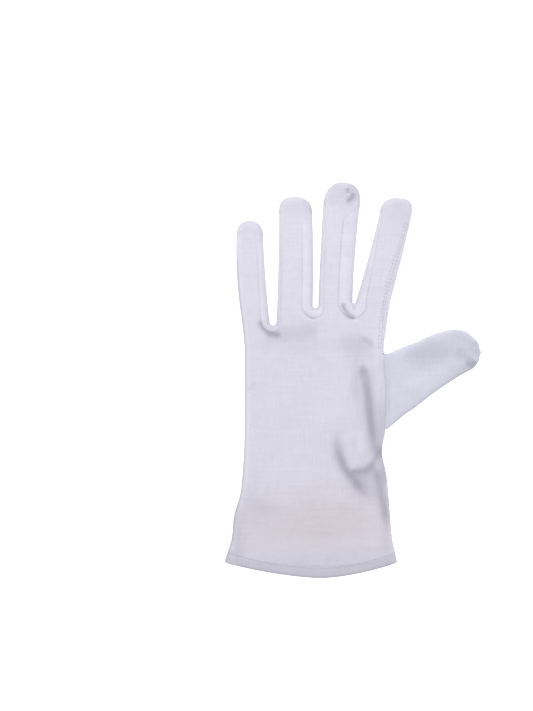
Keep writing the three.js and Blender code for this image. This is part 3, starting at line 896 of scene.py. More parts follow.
@dataclass(frozen=True)
class Cotton:
    """Fine cotton jersey: upright wales, fainter courses across, and a soft nap.

    The tones are how much each unevenness darkens or lightens the cloth, and the heights how much
    it counts in the bump.
    """

    name: str
    colour: tuple[float, float, float] = (0.68, 0.6645, 0.757)
    lean: float = 0.0
    wale: float = 1.2 * MM
    course: float = 0.95 * MM
    waver: float = 0.5 * MM
    waver_size: float = 7 * MM
    grain_size: float = 0.8 * MM
    thread_size: float = 1.1 * MM
    band_size: float = 1.5 * MM
    cloud_sizes: tuple[float, float] = (14 * MM, 4 * MM)
    wale_tone: float = 0.006
    grain_tone: float = 0.08
    thread_tone: float = 0.1
    band_tone: float = 0.09
    cloud_tone: float = 0.06
    wale_height: float = 0.5
    course_height: float = 0.2
    grain_height: float = 1.2
    thread_height: float = 0.8
    relief: float = 0.09 * MM

    def make(self) -> bpy.types.Material:
        """Builds the material.

        Returns:
            The material: its colour is this colour times the piece's painted shade and light and
                the
            knit, which is 1 plus each unevenness times its tone, and its bump is their sum, each
            times its height.
        """
        graph = Graph(self.name)
        point, x, y = graph.place()
        lean = math.radians(self.lean)
        waver = graph.noise(point, self.waver_size, (1, 2, 1)) * self.waver
        across = x * math.cos(lean) - y * math.sin(lean) + waver
        upward = x * math.sin(lean) + y * math.cos(lean) + waver
        wale = (across * (2 * math.pi / self.wale)).sine()
        course = (upward * (2 * math.pi / self.course)).sine()
        grain = graph.noise(point, self.grain_size)
        threads = graph.noise(point, self.thread_size, (1, 9, 1))
        bands = graph.noise(point, self.band_size, (16, 1, 1))
        large, small = (graph.noise(point, size) for size in self.cloud_sizes)
        cloud = large * self.cloud_tone + small * self.cloud_tone
        knit = 1.0 + wale * self.wale_tone + grain * self.grain_tone
        knit = knit + threads * self.thread_tone + bands * self.band_tone + cloud
        height = wale * self.wale_height + course * self.course_height
        height = height + grain * self.grain_height + threads * self.thread_height
        bump = graph.node(
            "ShaderNodeBump", inputs={"Height": height, "Distance": self.relief, "Strength": 0.6}
        )
        shader = graph.node(
            "ShaderNodeBsdfPrincipled",
            inputs={
                "Base Color": graph.shaded(self.colour, knit),
                "Roughness": 0.92,
                "Specular IOR Level": 0.2,
                "Sheen Weight": 0.12,
                "Sheen Roughness": 0.5,
                "Normal": bump.outputs[0],
            },
        )
        return graph.finish(shader)


@dataclass(frozen=True)
class Thread:
    """Twisted cotton sewing thread."""

    name: str = "sewing_thread"
    colour: tuple[float, float, float] = (0.72, 0.705, 0.79)
    twist: float = 0.35 * MM
    grain_size: float = 0.3 * MM
    grain_tone: float = 0.2
    relief: float = 0.03 * MM

    def make(self) -> bpy.types.Material:
        """Builds the material, with a fine twist in its bump."""
        graph = Graph(self.name)
        point, x, y = graph.place()
        twist = ((x + y) * (2 * math.pi / self.twist)).sine()
        grain = graph.noise(point, self.grain_size)
        bump = graph.node(
            "ShaderNodeBump", inputs={"Height": twist, "Distance": self.relief, "Strength": 0.5}
        )
        shader = graph.node(
            "ShaderNodeBsdfPrincipled",
            inputs={
                "Base Color": graph.shaded(self.colour, 1.0 + grain * self.grain_tone),
                "Roughness": 0.7,
                "Normal": bump.outputs[0],
            },
        )
        return graph.finish(shader)


@dataclass(frozen=True)
class Paper:
    """The white ground, which glows a little as a lit table does."""

    name: str = "white_ground"
    colour: tuple[float, float, float] = (0.9, 0.9, 0.9)
    glow: float = 0.75

    def make(self) -> bpy.types.Material:
        """Builds the material."""
        graph = Graph(self.name)
        shader = graph.node(
            "ShaderNodeBsdfPrincipled",
            inputs={
                "Base Color": (*self.colour, 1.0),
                "Roughness": 0.95,
                "Specular IOR Level": 0.1,
                "Emission Color": (1.0, 1.0, 1.0, 1.0),
                "Emission Strength": self.glow,
            },
        )
        return graph.finish(shader)


# ----------------------------------------------------------------------------
# Meshes
# ----------------------------------------------------------------------------

# Where the plan's origin lies in the frame, in millimetres
ORIGIN = (-23.375, -118.559, 0.0)


def build_object(
    name: str, points: Array, triangles: Array, material: bpy.types.Material, flat: int = 0
) -> bpy.types.Object:
    """Makes a smooth-shaded mesh object.

    Args:
        name: The object's name.
        points: The vertices, in millimetres of the plan.
        triangles: Three vertex numbers a row, outward faces counterclockwise.
        material: The material of all of it.
        flat: How many of the last triangles are shaded flat, as cut edges are.

    Returns:
        The object, at the origin of the frame, with its place in its vertices.
    """
    mesh = bpy.data.meshes.new(name)
    mesh.vertices.add(len(points))
    mesh.vertices.foreach_set("co", ((points + ORIGIN) * MM).astype(np.float32).ravel())
    mesh.loops.add(3 * len(triangles))
    mesh.loops.foreach_set("vertex_index", triangles.astype(np.int32).ravel())
    mesh.polygons.add(len(triangles))
    mesh.polygons.foreach_set("loop_start", np.arange(0, 3 * len(triangles), 3, dtype=np.int32))
    mesh.polygons.foreach_set("use_smooth", np.arange(len(triangles)) < len(triangles) - flat)
    mesh.update()
    mesh.validate()
    mesh.materials.append(material)
    made = bpy.data.objects.new(name, mesh)
    bpy.context.scene.collection.objects.link(made)
    return made


def paint(made: bpy.types.Object, shades: Array) -> None:
    """Gives each vertex its colour multiplier, three numbers a row: painted shade and light, with
    tint.
    """
    layer = made.data.color_attributes.new(SHADE, "FLOAT_COLOR", "POINT")
    rows = np.concatenate([shades, np.ones((len(shades), 1))], axis=1)
    layer.data.foreach_set("color", rows.astype(np.float32).ravel())


@dataclass
class Cloth:
    """A sheet of cloth: grids of points, joined where they meet, and then given a wall.

    Points that round to the same step of a millimetre are made one.
    """

    grids: list[tuple[Array, bool]] = field(default_factory=list)
    steps: int = 500

    def add(self, points: Array, turned: bool = False) -> None:
        """Adds a grid, rows by columns by three; turned makes its other face the outer one."""
        self.grids.append((points, turned))

    def joined(self) -> tuple[Array, Array]:
        """The points with those that meet made one, and the triangles of the outer face."""
        corners, start = [], 0
        for points, turned in self.grids:
            rows, columns = points.shape[:2]
            number = start + np.arange(rows * columns).reshape(rows, columns)
            a, b, c, d = number[:-1, :-1], number[:-1, 1:], number[1:, 1:], number[1:, :-1]
            faces = np.stack([np.stack([a, b, c], -1), np.stack([a, c, d], -1)]).reshape(-1, 3)
            corners.append(faces[:, ::-1] if turned else faces)
            start += rows * columns
        stacked = np.concatenate([points.reshape(-1, 3) for points, _ in self.grids])
        rounded = np.round(stacked * self.steps)
        _, first, same = np.unique(rounded, axis=0, return_index=True, return_inverse=True)
        triangles = same.reshape(-1)[np.concatenate(corners)]
        a, b, c = triangles.T
        return stacked[first], triangles[(a != b) & (b != c) & (c != a)]

    def body(self, wall: float) -> tuple[Array, Array, Array, int]:
        """The cloth as a closed body.

        Args:
            wall: The thickness of the cloth.

        Returns:
            The points, the triangles, for each point whether it lies on the outer face, and how
            many triangles the cut edges have; they come last. The inner face is the outer one moved
            in by the wall along its normals.
        """
        points, triangles = self.joined()
        a, b, c = (points[triangles[:, k]] for k in range(3))
        faces = np.cross(b - a, c - a)
        normals = np.zeros_like(points)
        for k in range(3):
            np.add.at(normals, triangles[:, k], faces)
        normals /= np.maximum(np.linalg.norm(normals, axis=1, keepdims=True), TINY)
        count = len(points)
        edges = np.concatenate([triangles[:, [0, 1]], triangles[:, [1, 2]], triangles[:, [2, 0]]])
        shared = np.isin(edges[:, 0] * count + edges[:, 1], edges[:, 1] * count + edges[:, 0])
        start, end = edges[~shared].T
        near = np.stack([end, start, start + count], -1)
        far = np.stack([end, start + count, end + count], -1)
        rim = np.concatenate([near, far])
        whole = np.concatenate([triangles, triangles[:, ::-1] + count, rim])
        outer = np.arange(2 * count) < count
        return np.concatenate([points, points - wall * normals]), whole, outer, len(rim)


# ----------------------------------------------------------------------------
# The sewn pieces
# ----------------------------------------------------------------------------


@dataclass(frozen=True)
class Division:
    """How finely the cloth is divided: rows and columns of each stretch."""

    crotch: int = 14
    side: int = 86
    end: int = 24
    finger: int = 26
    hand: tuple[int, int, int] = (106, 52, 36)
    turn: int = 8

    @property
    def stretches(self) -> tuple[tuple[Zone, Array], ...]:
        """The rows of a finger's border, each stretch without the row it shares with the last."""
        return (
            (Zone.CROTCH, np.linspace(0, 1, self.crotch + 1)),
            (Zone.SIDE, np.linspace(0, 1, self.side + 1)[1:]),
            (Zone.END, np.linspace(0, 1, self.end + 1)[1:]),
        )


@dataclass
class Piece:
    """A sewn piece: the plan, how finely it is divided, what it stands for and its wall.

    tint is the colour multiplier of the whole piece, and inner_tone the painted shade of its
    underside and inside, which start shaded_below under the widest level.
    """

    plan: Plan
    division: Division
    node: str
    slot: str
    finish: Cotton
    wall: float = 1.0
    sag: float = 0.3
    shaded_below: float = 0.3
    tint: tuple[float, float, float] = (1.0, 1.0, 1.0)
    inner_tone: float = 0.97

    def place(self, cloth: Cloth) -> bpy.types.Object:
        """Gives the cloth its wall, makes the object, paints its shade and light and ties it to the
        frame.

        Args:
            cloth: The outer face.

        Returns:
            The object.
        """
        points, triangles, outer, cut = cloth.body(self.wall)
        made = build_object(f"{self.node}_cloth", points, triangles, self.finish.make(), cut)
        # painted shade and light on the upper face, and a painted shade on the underside and inside
        upper = outer & (points[:, 2] > self.plan.widest - self.shaded_below)
        shade = np.where(upper[:, None], self.shade(points), self.inner_tone)
        paint(made, shade * np.array(self.tint))
        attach(made, "root")
        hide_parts(self.node)
        LOG.info("%s: %d triangles", made.name, len(triangles))
        return made

    def shade(self, points: Array) -> Array:
        """The painted shade and light of points of the upper face, as colour multipliers."""
        return shade_back(self.plan, points[:, 0], points[:, 1])

    def raised(self, flat: Array, height: Height) -> Array:
        """Points of the plan with their heights."""
        return np.concatenate([flat, height(flat[..., 0], flat[..., 1])[..., None]], axis=-1)

    def finger_grid(self, panel: Panel, finger: Finger) -> Array:
        """The grid of one finger of a panel.

        Args:
            panel: Which piece it is of.
            finger: The finger.

        Returns:
            Rows in the plan from its left seam to its right one. Those at the root sag between two
            crotches of unlike height, by 4s(1 - s) of the share s across, so that no two cross.
        """
        share = crowded(self.division.finger, True, True)[None, :, None]
        rows = []
        for zone, t in self.division.stretches:
            left, right = (
                self.plan.seam_point(panel, finger, side, zone, t)[:, None] for side in Side
            )
            row = mix(left, right, share)
            if zone is Zone.CROTCH:
                drop = self.sag * np.abs(right - left)[..., 1] * (1 - t)[:, None]
                row[..., 1] -= drop * 4 * (share * (1 - share))[..., 0]
            rows.append(row)
        return np.concatenate(rows)

    def hand_grid(self, panel: Panel, fingers: Sequence[Array]) -> Array:
        """The grid of the hand, in the plan.

        Args:
            panel: Which piece it is of.
            fingers: The finger grids, whose first rows are this grid's last.

        Returns:
            Rows from the hem up: columns keep their share of the way across.
        """
        plan = self.plan
        top = np.concatenate([fingers[0][0], *(grid[0][1:] for grid in fingers[1:])])
        left, right = self.sides(panel, top[:, 1])
        share = np.clip((top[:, 0] - left) / (right - left), 0, 1)
        low = plan.hem_line(share) + (plan.hem_height - plan.hem_tuck)
        last = top[-1, 1]
        stops = (low[-1], *plan.window, last)
        counts = enumerate(self.division.hand)
        levels = np.concatenate(
            [np.linspace(stops[k], stops[k + 1], n, endpoint=False) for k, n in counts]
        )
        rise = ((levels - low[-1]) / (last - low[-1]))[:, None]
        y = mix(low[None, :], top[None, :, 1], rise)
        left, right = self.sides(panel, y)
        grid = np.stack([mix(left, right, share[None, :]), y], axis=-1)
        return np.concatenate([grid, top[None]])

    def sides(self, panel: Panel, y: Array) -> tuple[Array, Array]:
        """The x of a panel's two seams on the hand at height y."""
        plan = self.plan
        palm = panel is Panel.PALM
        insets = [plan.edge_seam if palm else plan.hand_seam(side, y) for side in Side]
        return plan.edge(Side.LEFT, y) + insets[0], plan.edge(Side.RIGHT, y) - insets[1]

    def turned(self, point: Callable[[Array], Array], under: Array, above: Array) -> Array:
        """The cloth that turns round the outline.

        Args:
            point: Gives a place of the plan for an inset from the outline.
            under: For each row, how far in it starts underneath.
            above: For each row, how far in it ends above.

        Returns:
            The grid, each row from underneath, round the widest level and up.
        """
        count = self.division.turn
        low = under[:, None] * (1 - crowded(count, False, True))[None, :]
        high = above[:, None] * crowded(count, True, False)[None, 1:]
        halves = [self.raised(point(low), self.plan.under), self.raised(point(high), self.plan.top)]
        return np.concatenate(halves, axis=1)

    def border_strip(
        self, finger: Finger, side: Side, zone: Zone, t: Array, overlap: float = 0.0
    ) -> Array:
        """The cloth that turns round a finger's border, from the palm's seam to the back's.

        Args:
            finger: The finger.
            side: Which side of it.
            zone: The stretch of the border.
            t: The shares of that stretch at which its rows lie.
            overlap: How far short of the palm's seam it starts underneath.

        Returns:
            The grid.
        """
        plan = self.plan
        return self.turned(
            lambda inset: plan.border(finger, side, zone, t[:, None], inset),
            plan.seam_inset(Panel.PALM, finger, side, zone, t) - overlap,
            plan.seam_inset(Panel.BACK, finger, side, zone, t),
        )


@dataclass
class Back(Piece):
    """The back of the hand and of the four fingers."""

    def build(self) -> bpy.types.Object:
        """Builds the piece: its hand and its fingers, each raised to the height of the back."""
        cloth = Cloth()
        fingers = [self.finger_grid(Panel.BACK, finger) for finger in self.plan.fingers]
        for grid in (self.hand_grid(Panel.BACK, fingers), *fingers):
            cloth.add(self.raised(grid, self.plan.top))
        return self.place(cloth)


@dataclass
class Palm(Piece):
    """The palm and the fronts of the fingers, with the strips that turn up at sides and ends.

    reach is how far past the thumb's window a row still counts as beside it.
    """

    tint: tuple[float, float, float] = (0.985, 0.985, 0.99)
    reach: float = 0.1

    def build(self) -> bpy.types.Object:
        """Builds the piece, open where the thumb goes in."""
        plan, cloth = self.plan, Cloth()
        fingers = [self.finger_grid(Panel.PALM, finger) for finger in plan.fingers]
        hand = self.hand_grid(Panel.PALM, fingers)
        for grid in (hand, *fingers):
            cloth.add(self.raised(grid, plan.under), True)
        cloth.add(self.hand_strip(Side.LEFT, hand[:, 0, 1]))
        right = hand[:, -1, 1]
        low, high = plan.window
        cloth.add(self.hand_strip(Side.RIGHT, right[right <= low + self.reach]), True)
        cloth.add(self.hand_strip(Side.RIGHT, right[right >= high - self.reach]), True)
        for finger in plan.fingers:
            for side in Side:
                cloth.add(self.finger_strip(finger, side), side is Side.RIGHT)
        return self.place(cloth)

    def hand_strip(self, side: Side, y: Array) -> Array:
        """The strip that turns up round the hand's own edge at some heights."""

        def point(inset: Array) -> Array:
            """A place of the plan in from the edge."""
            x = self.plan.edge(side, y)[:, None] + side.value * inset
            return np.stack([x, np.broadcast_to(y[:, None], x.shape)], axis=-1)

        under = np.full(y.shape, self.plan.edge_seam)
        return self.turned(point, under, self.plan.hand_seam(side, y))

    def finger_strip(self, finger: Finger, side: Side) -> Array:
        """The strip round a finger's border: all of it on an outer side, else only the end."""
        rows = self.division.stretches
        if finger.crotch(side):
            rows = ((Zone.SIDE, np.array([1.0])), rows[-1])
        return np.concatenate([self.border_strip(finger, side, zone, t) for zone, t in rows])


@dataclass
class Fork(Piece):
    """The side strip of one crotch: down one finger, round the crotch and up the next.

    It ends stop short of the finger's rounded end and starts overlap short of the palm's seam.
    """

    # a painted highlight that lightens the side strips against the shade of their rolled edges
    tint: tuple[float, float, float] = (1.05, 1.05, 1.045)
    number: int = 0
    stop: float = 0.15
    overlap: float = 0.1

    def build(self) -> bpy.types.Object:
        """Builds the strip in two halves that meet under the crotch."""
        cloth = Cloth()
        fingers = self.plan.fingers
        cloth.add(self.half(fingers[self.number], Side.RIGHT), True)
        cloth.add(self.half(fingers[self.number + 1], Side.LEFT))
        return self.place(cloth)

    def half(self, finger: Finger, side: Side) -> Array:
        """The half of the strip on one finger."""
        last = 1 - self.stop / np.linalg.norm(finger.root(side) - finger.end(side))
        strips = []
        for zone, t in self.division.stretches[:2]:
            t = np.minimum(t, last) if zone is Zone.SIDE else t
            strips.append(self.border_strip(finger, side, zone, t, self.overlap))
        return np.concatenate(strips)


@dataclass
class Thumb(Piece):
    """The thumb: a flattened pouch, open at its root and tucked in under the back.

    Its rows crowd towards the tip by a power, and it closes there over the last share of its reach.
    """

    thickness: float = 7.2
    tuck: float = 4.0
    under_tuck: float = 0.1
    slack: float = 0.04
    root_roll: float = 0.7
    slope: float = 7.0
    rows: int = 90
    columns: int = 60
    crowding: float = 1.6
    closing: float = 0.965
    tip_roll: float = 3.0
    # painted shade and light of the upper face: the folds' shade widened by soften, shade above the
    # diagonal, at the lower rim and by the root, a highlight at the upper rim, and a cool tint of
    # shade
    soften: float = 1.3
    diagonal: tuple[float, float, float] = (42.0, 111.0, 0.42)
    level_tone: float = 0.99
    upper_tone: float = 0.05
    upper_reach: tuple[float, float] = (-3.0, 8.0)
    rim_width: float = 2.4
    rim_tones: tuple[float, float] = (-0.44, 0.14)
    lower_rim: tuple[float, float] = (0.0, 6.0)
    upper_rim: tuple[float, float] = (2.0, 10.0)
    root_width: float = 1.6
    root_shadow: float = 0.07
    shade_tint: tuple[float, float, float] = (1.0, 1.01, 1.03)
    folds: tuple[Fold, ...] = (
        Fold(((50.0, 129.0), (62.0, 133.0), (74.0, 136.0), (90.0, 136.0)), 5.0, 0.5, 0.12),
        Fold(((96.6, 130.4), (94.4, 128.4), (90.8, 127.2)), 1.8, 1.0, 0.16, 0.2),
        Fold(((84.0, 137.0), (90.0, 132.8), (95.4, 127.8)), 3.0, 0.6, 0.15, 0.25),
        Fold(((98.6, 130.0), (93.6, 125.6)), 1.4, 0.6, 0.12, 0.15),
        Fold(((97.0, 144.0), (100.0, 137.0), (97.5, 130.0)), 4.0, 0.3, 0.13),
        Fold(((60.0, 128.0), (80.0, 133.0)), 7.0, 0.2, 0.05),
        Fold(((98.6, 137.0), (97.4, 130.0)), 2.4, 0.3, 0.03),
        Fold(((52.0, 112.0), (68.0, 120.0), (84.0, 127.0)), 5.0, -0.4, -0.02),
        Fold(((44.0, 134.0), (58.0, 140.0), (70.0, 143.4)), 2.4, -0.3, -0.05),
        Fold(((78.0, 145.0), (90.0, 145.0), (98.0, 141.0), (101.0, 135.0)), 4.0, 0.2, 0.07),
        Fold(((78.0, 127.0), (88.0, 124.0), (96.0, 124.0)), 4.0, 0.2, 0.06),
    )

    def build(self) -> bpy.types.Object:
        """Builds the pouch: flattened rings from the root to the tip, drawn together there."""
        plan, cloth = self.plan, Cloth()
        step = np.linspace(0, 1, self.rows + 1)
        along = np.clip(1 - (1 - step) ** self.crowding, 0, 1)
        at = tuple(station.along for station in THUMB)
        close = ramp(along, self.closing, 1.0)
        raw = [
            Curve(at, tuple(station.upper for station in THUMB))(along),
            Curve(at, tuple(station.lower for station in THUMB))(along),
        ]
        middle = (raw[0] + raw[1]) / 2
        upper, lower = (
            (mix(column, middle, close**2) * plan.thumb_root + plan.thumb_rise)[:, None]
            for column in raw
        )
        half = (upper - lower) / 2
        share = crowded(self.columns, True, True)[None, :]
        base = float(plan.edge(Side.RIGHT, np.array(plan.thumb_rise)))
        faces = []
        for top in (True, False):
            y = mix(upper, lower, share)
            inset = half * (1 - np.abs(2 * share - 1))
            seam = plan.edge(Side.RIGHT, y) - plan.edge_seam + self.under_tuck
            start = plan.edge(Side.RIGHT, y) - self.tuck if top else seam
            x = np.broadcast_to((base + along * plan.thumb_reach)[:, None], y.shape).copy()
            x[0] = start[0]
            tip = ramp(plan.thumb_reach * (1 - along), 0, self.tip_roll)[:, None] ** 0.5
            rise = self.thickness - plan.widest - self.sunk(x, y) if top else -plan.widest
            turn = rolled(inset, plan.top_roll if top else plan.under_roll) * tip
            z = plan.widest + rise * turn
            faces.append(np.stack([x, y, self.lifted(x, y, z, inset) if top else z], axis=-1))
        cloth.add(np.concatenate([faces[0], faces[1][:, ::-1][:, 1:]], axis=1))
        return self.place(cloth)

    def lifted(self, x: Array, y: Array, z: Array, inset: Array) -> Array:
        """The upper face, raised at the root to lie against the inside of the back.

        Args:
            x: x of its points.
            y: y of its points.
            z: Their heights without the raising.
            inset: How far in from the thumb's outline they lie.

        Returns:
            The heights: those of the inside of the back at the root, mixed down to z over slope.
        """
        plan = self.plan
        edge = plan.edge(Side.RIGHT, y)
        inside = plan.top(np.minimum(x, edge - plan.edge_seam), y) - self.wall - self.slack
        against = plan.widest + (inside - plan.widest) * rolled(inset, self.root_roll)
        return mix(against, z, ramp(x - edge, -plan.edge_seam, self.slope))

    def sunk(self, x: Array, y: Array) -> Array:
        """How deep the thumb's own folds sink it."""
        return sum(fold.depth * fold.bell(x, y) for fold in self.folds)

    def shade(self, points: Array) -> Array:
        """The painted shade and light of points of the upper face, as colour multipliers.

        Args:
            points: The points.

        Returns:
            Red, green and blue a row: painted shade along the folds, above the diagonal, along the
                lower
            rim and beside the hand's edge, a painted highlight along the upper rim, and a cool tint
            of painted shade.
        """
        x, y = points[:, 0], points[:, 1]
        tone = np.ones(len(points))
        for fold in self.folds:
            tone *= 1 - fold.tone * fold.bell(x, y, self.soften)
        start, level, slope = self.diagonal
        above = y - (level + slope * (x - start))
        tone *= self.level_tone - self.upper_tone * ramp(above, *self.upper_reach)
        rim = np.exp(-(((points[:, 2] - self.plan.widest) / self.rim_width) ** 2))
        lower = self.rim_tones[0] * ramp(-above, *self.lower_rim)
        upper = self.rim_tones[1] * ramp(above, *self.upper_rim)
        tone *= 1 + lower * rim + upper * rim
        root = np.exp(-(((x - self.plan.edge(Side.RIGHT, y)) / self.root_width) ** 2))
        return (tone * (1 - self.root_shadow * root))[:, None] * np.array(self.shade_tint)


@dataclass
class Hem(Piece):
    """The doubled band round the wrist opening, its upper edge tucked just under the panels.

    Its lower edge turns down by drop over turn. Its tones are painted shade: that of the band, of
    the way down it and of the shadow along the lower edge, and a painted highlight at the left end;
    light holds that end's x and half width.
    """

    wall: float = 1.6
    sink: float = 0.06
    drop: float = 0.8
    turn: float = 1.4
    rows: int = 24
    columns: int = 150
    # painted shade of the band, down it and along the lower edge, and a painted highlight at the
    # left end
    tones: tuple[float, float, float, float] = (0.925, 0.05, 0.17, 0.09)
    shadow_width: float = 1.2
    light: tuple[float, float] = (-47.0, 6.0)

    def build(self) -> bpy.types.Object:
        """Builds the ring: rows across the band, over the top and back underneath."""
        plan, cloth = self.plan, Cloth()
        share = crowded(self.columns, True, True)[None, :]
        rise = (np.linspace(0, 1, self.rows + 1) * plan.hem_height)[:, None]
        y = plan.hem_line(share) + rise
        x = mix(plan.edge(Side.LEFT, y), plan.edge(Side.RIGHT, y), share)
        flat = np.stack([x, y], axis=-1)
        over = self.raised(flat, plan.top)
        below = self.raised(flat, plan.under)
        inner = rolled(plan.inset(x, y), plan.top_roll)
        covered = plan.hem_height - plan.hem_tuck
        tuck = self.sink * ramp(rise, covered - plan.hem_tuck, covered) * inner
        over[..., 2] -= tuck + self.drop * (1 - rolled(rise, self.turn)) * inner
        below[..., 2] += tuck
        below = below[:, ::-1][:, 1:]
        cloth.add(np.concatenate([over, below], axis=1))
        return self.place(cloth)

    def shade(self, points: Array) -> Array:
        """Painted shade darker than the back, most along the lower edge, and a painted highlight at
        the left end.
        """
        x, y = points[:, 0], points[:, 1]
        plan = self.plan
        left, right = plan.edge(Side.LEFT, y), plan.edge(Side.RIGHT, y)
        rise = y - plan.hem_line(np.clip((x - left) / (right - left), 0, 1))
        band, down, shadow, end = self.tones
        tone = band - down * (1 - rise / plan.hem_height)
        tone -= shadow * np.exp(-((rise / self.shadow_width) ** 2))
        tone += end * np.exp(-(((x - self.light[0]) / self.light[1]) ** 2))
        return shade_back(plan, x, y) * tone[:, None]


# ----------------------------------------------------------------------------
# Threads
# ----------------------------------------------------------------------------


# The rings of points along a stitch, and the points of each
RINGS = 10
SIDES = 6


def rods(
    starts: Array, ends: Array, radius: float, bow: float
) -> tuple[Array, Array, Array]:
    """Short rounded rods, one for each stitch.

    Args:
        starts: Where each starts, three numbers a row.
        ends: Where each ends.
        radius: Half its thickness.
        bow: How far its middle stands up.

    Returns:
        The points and the triangles of all of them, RINGS rings of SIDES points each, narrowed at
        the ends by the root of 1 less the sixth power of the way from the middle, and each point's
        share of the way along its rod.
    """
    t = (1 - np.cos(np.linspace(0, math.pi, RINGS))) / 2
    round_off = np.sqrt(np.maximum(1 - (2 * t - 1) ** 6, 0)) * radius
    angle = (np.arange(SIDES) * 2 * math.pi / SIDES)[None, None, :, None]
    way = ends - starts
    across = np.cross(way, [0, 0, 1])
    across /= np.linalg.norm(across, axis=1, keepdims=True)
    lift = np.stack([np.zeros_like(t), np.zeros_like(t), bow * 4 * t * (1 - t)], -1)
    middle = starts[:, None] + way[:, None] * t[None, :, None] + lift[None]
    ring = across[:, None, None] * np.cos(angle) + np.array([0, 0, 1.0]) * np.sin(angle)
    points = middle[:, :, None] + ring * round_off[None, :, None, None]
    first = (np.arange(len(starts)) * RINGS * SIDES)[:, None, None]
    row, side = np.arange(RINGS - 1)[:, None] * SIDES, np.arange(SIDES)
    a, b = first + row + side, first + row + (side + 1) % SIDES
    halves = [np.stack([a, a + SIDES, b + SIDES], -1), np.stack([a, b + SIDES, b], -1)]
    faces = np.concatenate([half.reshape(-1, 3) for half in halves])
    share = np.broadcast_to(t[None, :, None], points.shape[:3])
    return points.reshape(-1, 3), faces, share.reshape(-1)


@dataclass
class Stitches:
    """The threads that show: the zigzag over the hem and the double row down the index finger."""

    plan: Plan
    hem: tuple[tuple[float, float], ...] = (
        (-49.6, 11.2), (-40.0, 9.6), (-25.0, 8.6), (-10.2, 7.9), (3.6, 7.2), (18.0, 7.8),
        (30.6, 9.0), (47.6, 10.9),
    )
    hem_pitch: float = 1.7
    hem_reach: float = 0.8
    index: tuple[tuple[float, float], ...] = (
        (55.4, 212.0), (51.6, 199.4), (45.8, 181.4), (42.4, 167.0), (40.2, 154.4), (39.0, 137.0),
    )
    index_pitch: float = 2.3
    index_row: float = 0.8
    length: float = 1.2
    radius: float = 0.19
    bow: float = 0.15
    proud: float = 0.3
    # painted shade at the holes where the thread goes into the cloth
    hem_hole_shade: float = 0.97
    index_hole_shade: float = 0.55
    hole_reach: tuple[float, float] = (0.1, 0.35)

    def build(self) -> bpy.types.Object:
        """Builds all stitches as one mesh, each with painted shade at its two holes."""
        sets = [self.zigzag(), self.row(-self.index_row), self.row(self.index_row)]
        starts, ends = (np.concatenate([pair[k] for pair in sets]) for k in range(2))
        points, faces, share = rods(starts, ends, self.radius, self.bow)
        made = build_object("stitches", points, faces, Thread().make())
        in_hem = np.arange(len(starts)) < len(sets[0][0])
        hole = np.repeat(np.where(in_hem, self.hem_hole_shade, self.index_hole_shade), RINGS * SIDES)
        level = hole + (1 - hole) * ramp(np.minimum(share, 1 - share), *self.hole_reach)
        paint(made, level[:, None] * np.ones(3))
        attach(made, "root")
        LOG.info("stitches: %d triangles", len(faces))
        return made

    def laid(self, flat: Array) -> Array:
        """Points of the plan laid on the back, a little sunk in."""
        z = self.plan.top(flat[:, 0], flat[:, 1]) + self.radius * self.proud
        return np.concatenate([flat, z[:, None]], axis=1)

    def path(self, line: Sequence[tuple[float, float]], pitch: float) -> tuple[Array, Array]:
        """Even steps along a smooth line through some points, and the direction across at each."""
        table = np.array(line)
        run = np.concatenate([[0], np.cumsum(np.linalg.norm(np.diff(table, axis=0), axis=1))])
        at = np.arange(0, run[-1], pitch)
        flat = np.stack([Curve(tuple(run), tuple(table[:, k]))(at) for k in range(2)], axis=-1)
        way = np.gradient(flat, axis=0)
        way /= np.linalg.norm(way, axis=1, keepdims=True)
        return flat, np.stack([-way[:, 1], way[:, 0]], axis=-1)

    def zigzag(self) -> tuple[Array, Array]:
        """The ends of the hem's stitches: each runs from one side of the line to the other."""
        flat, across = self.path(self.hem, self.hem_pitch / 2)
        sign = np.where(np.arange(len(flat)) % 2, 1.0, -1.0)[:, None]
        knots = self.laid(flat + across * sign * self.hem_reach)
        return knots[:-1], knots[1:]

    def row(self, offset: float) -> tuple[Array, Array]:
        """The ends of one row of stitches down the index finger."""
        flat, across = self.path(self.index, self.index_pitch)
        middle = flat + across * offset
        way = np.stack([across[:, 1], -across[:, 0]], axis=-1) * self.length / 2
        return self.laid(middle - way), self.laid(middle + way)


# ----------------------------------------------------------------------------
# Seams, shades, ground and camera
# ----------------------------------------------------------------------------


def seam_folds(plan: Plan) -> tuple[Fold, ...]:
    """The seams of the back as narrow grooves with painted shade: round each crotch and down the
    outer sides.

    Args:
        plan: The plan, without seams.

    Returns:
        One fold for each crotch, from fingertip to fingertip, and one for each outer side.
    """
    fingers = plan.fingers

    def line(finger: Finger, side: Side, zones: Sequence[Zone]) -> list[tuple[float, float]]:
        """The seam's points on one finger's border, up to where the side strip narrows."""
        shares = {
            Zone.CROTCH: np.linspace(0, 1, 7),
            Zone.SIDE: np.linspace(0, plan.strip_taper, 12),
        }
        points = [plan.seam_point(Panel.BACK, finger, side, zone, shares[zone]) for zone in zones]
        return [tuple(point) for point in np.concatenate(points)]

    def groove(points: Sequence[tuple[float, float]], tone: float) -> Fold:
        """The groove along a seam, with its painted shade."""
        return Fold(tuple(points), plan.groove_width, plan.groove_depth, tone, plan.groove_fade)

    inner = (Zone.CROTCH, Zone.SIDE)
    folds = []
    for k in range(len(CROTCHES)):
        down = line(fingers[k], Side.RIGHT, inner)[::-1]
        up = line(fingers[k + 1], Side.LEFT, inner)
        folds.append(groove(down + up[1:], plan.seam_shade))
    for finger, side in ((fingers[0], Side.LEFT), (fingers[-1], Side.RIGHT)):
        y = np.linspace(plan.seam_start, finger.root(side)[1], 40)
        x = plan.edge(side, y) + side.value * plan.hand_seam(side, y)
        tone = plan.left_seam_shade if side is Side.LEFT else 0.0
        folds.append(groove(list(zip(x, y)) + line(finger, side, (Zone.SIDE,)), tone))
    return tuple(folds)


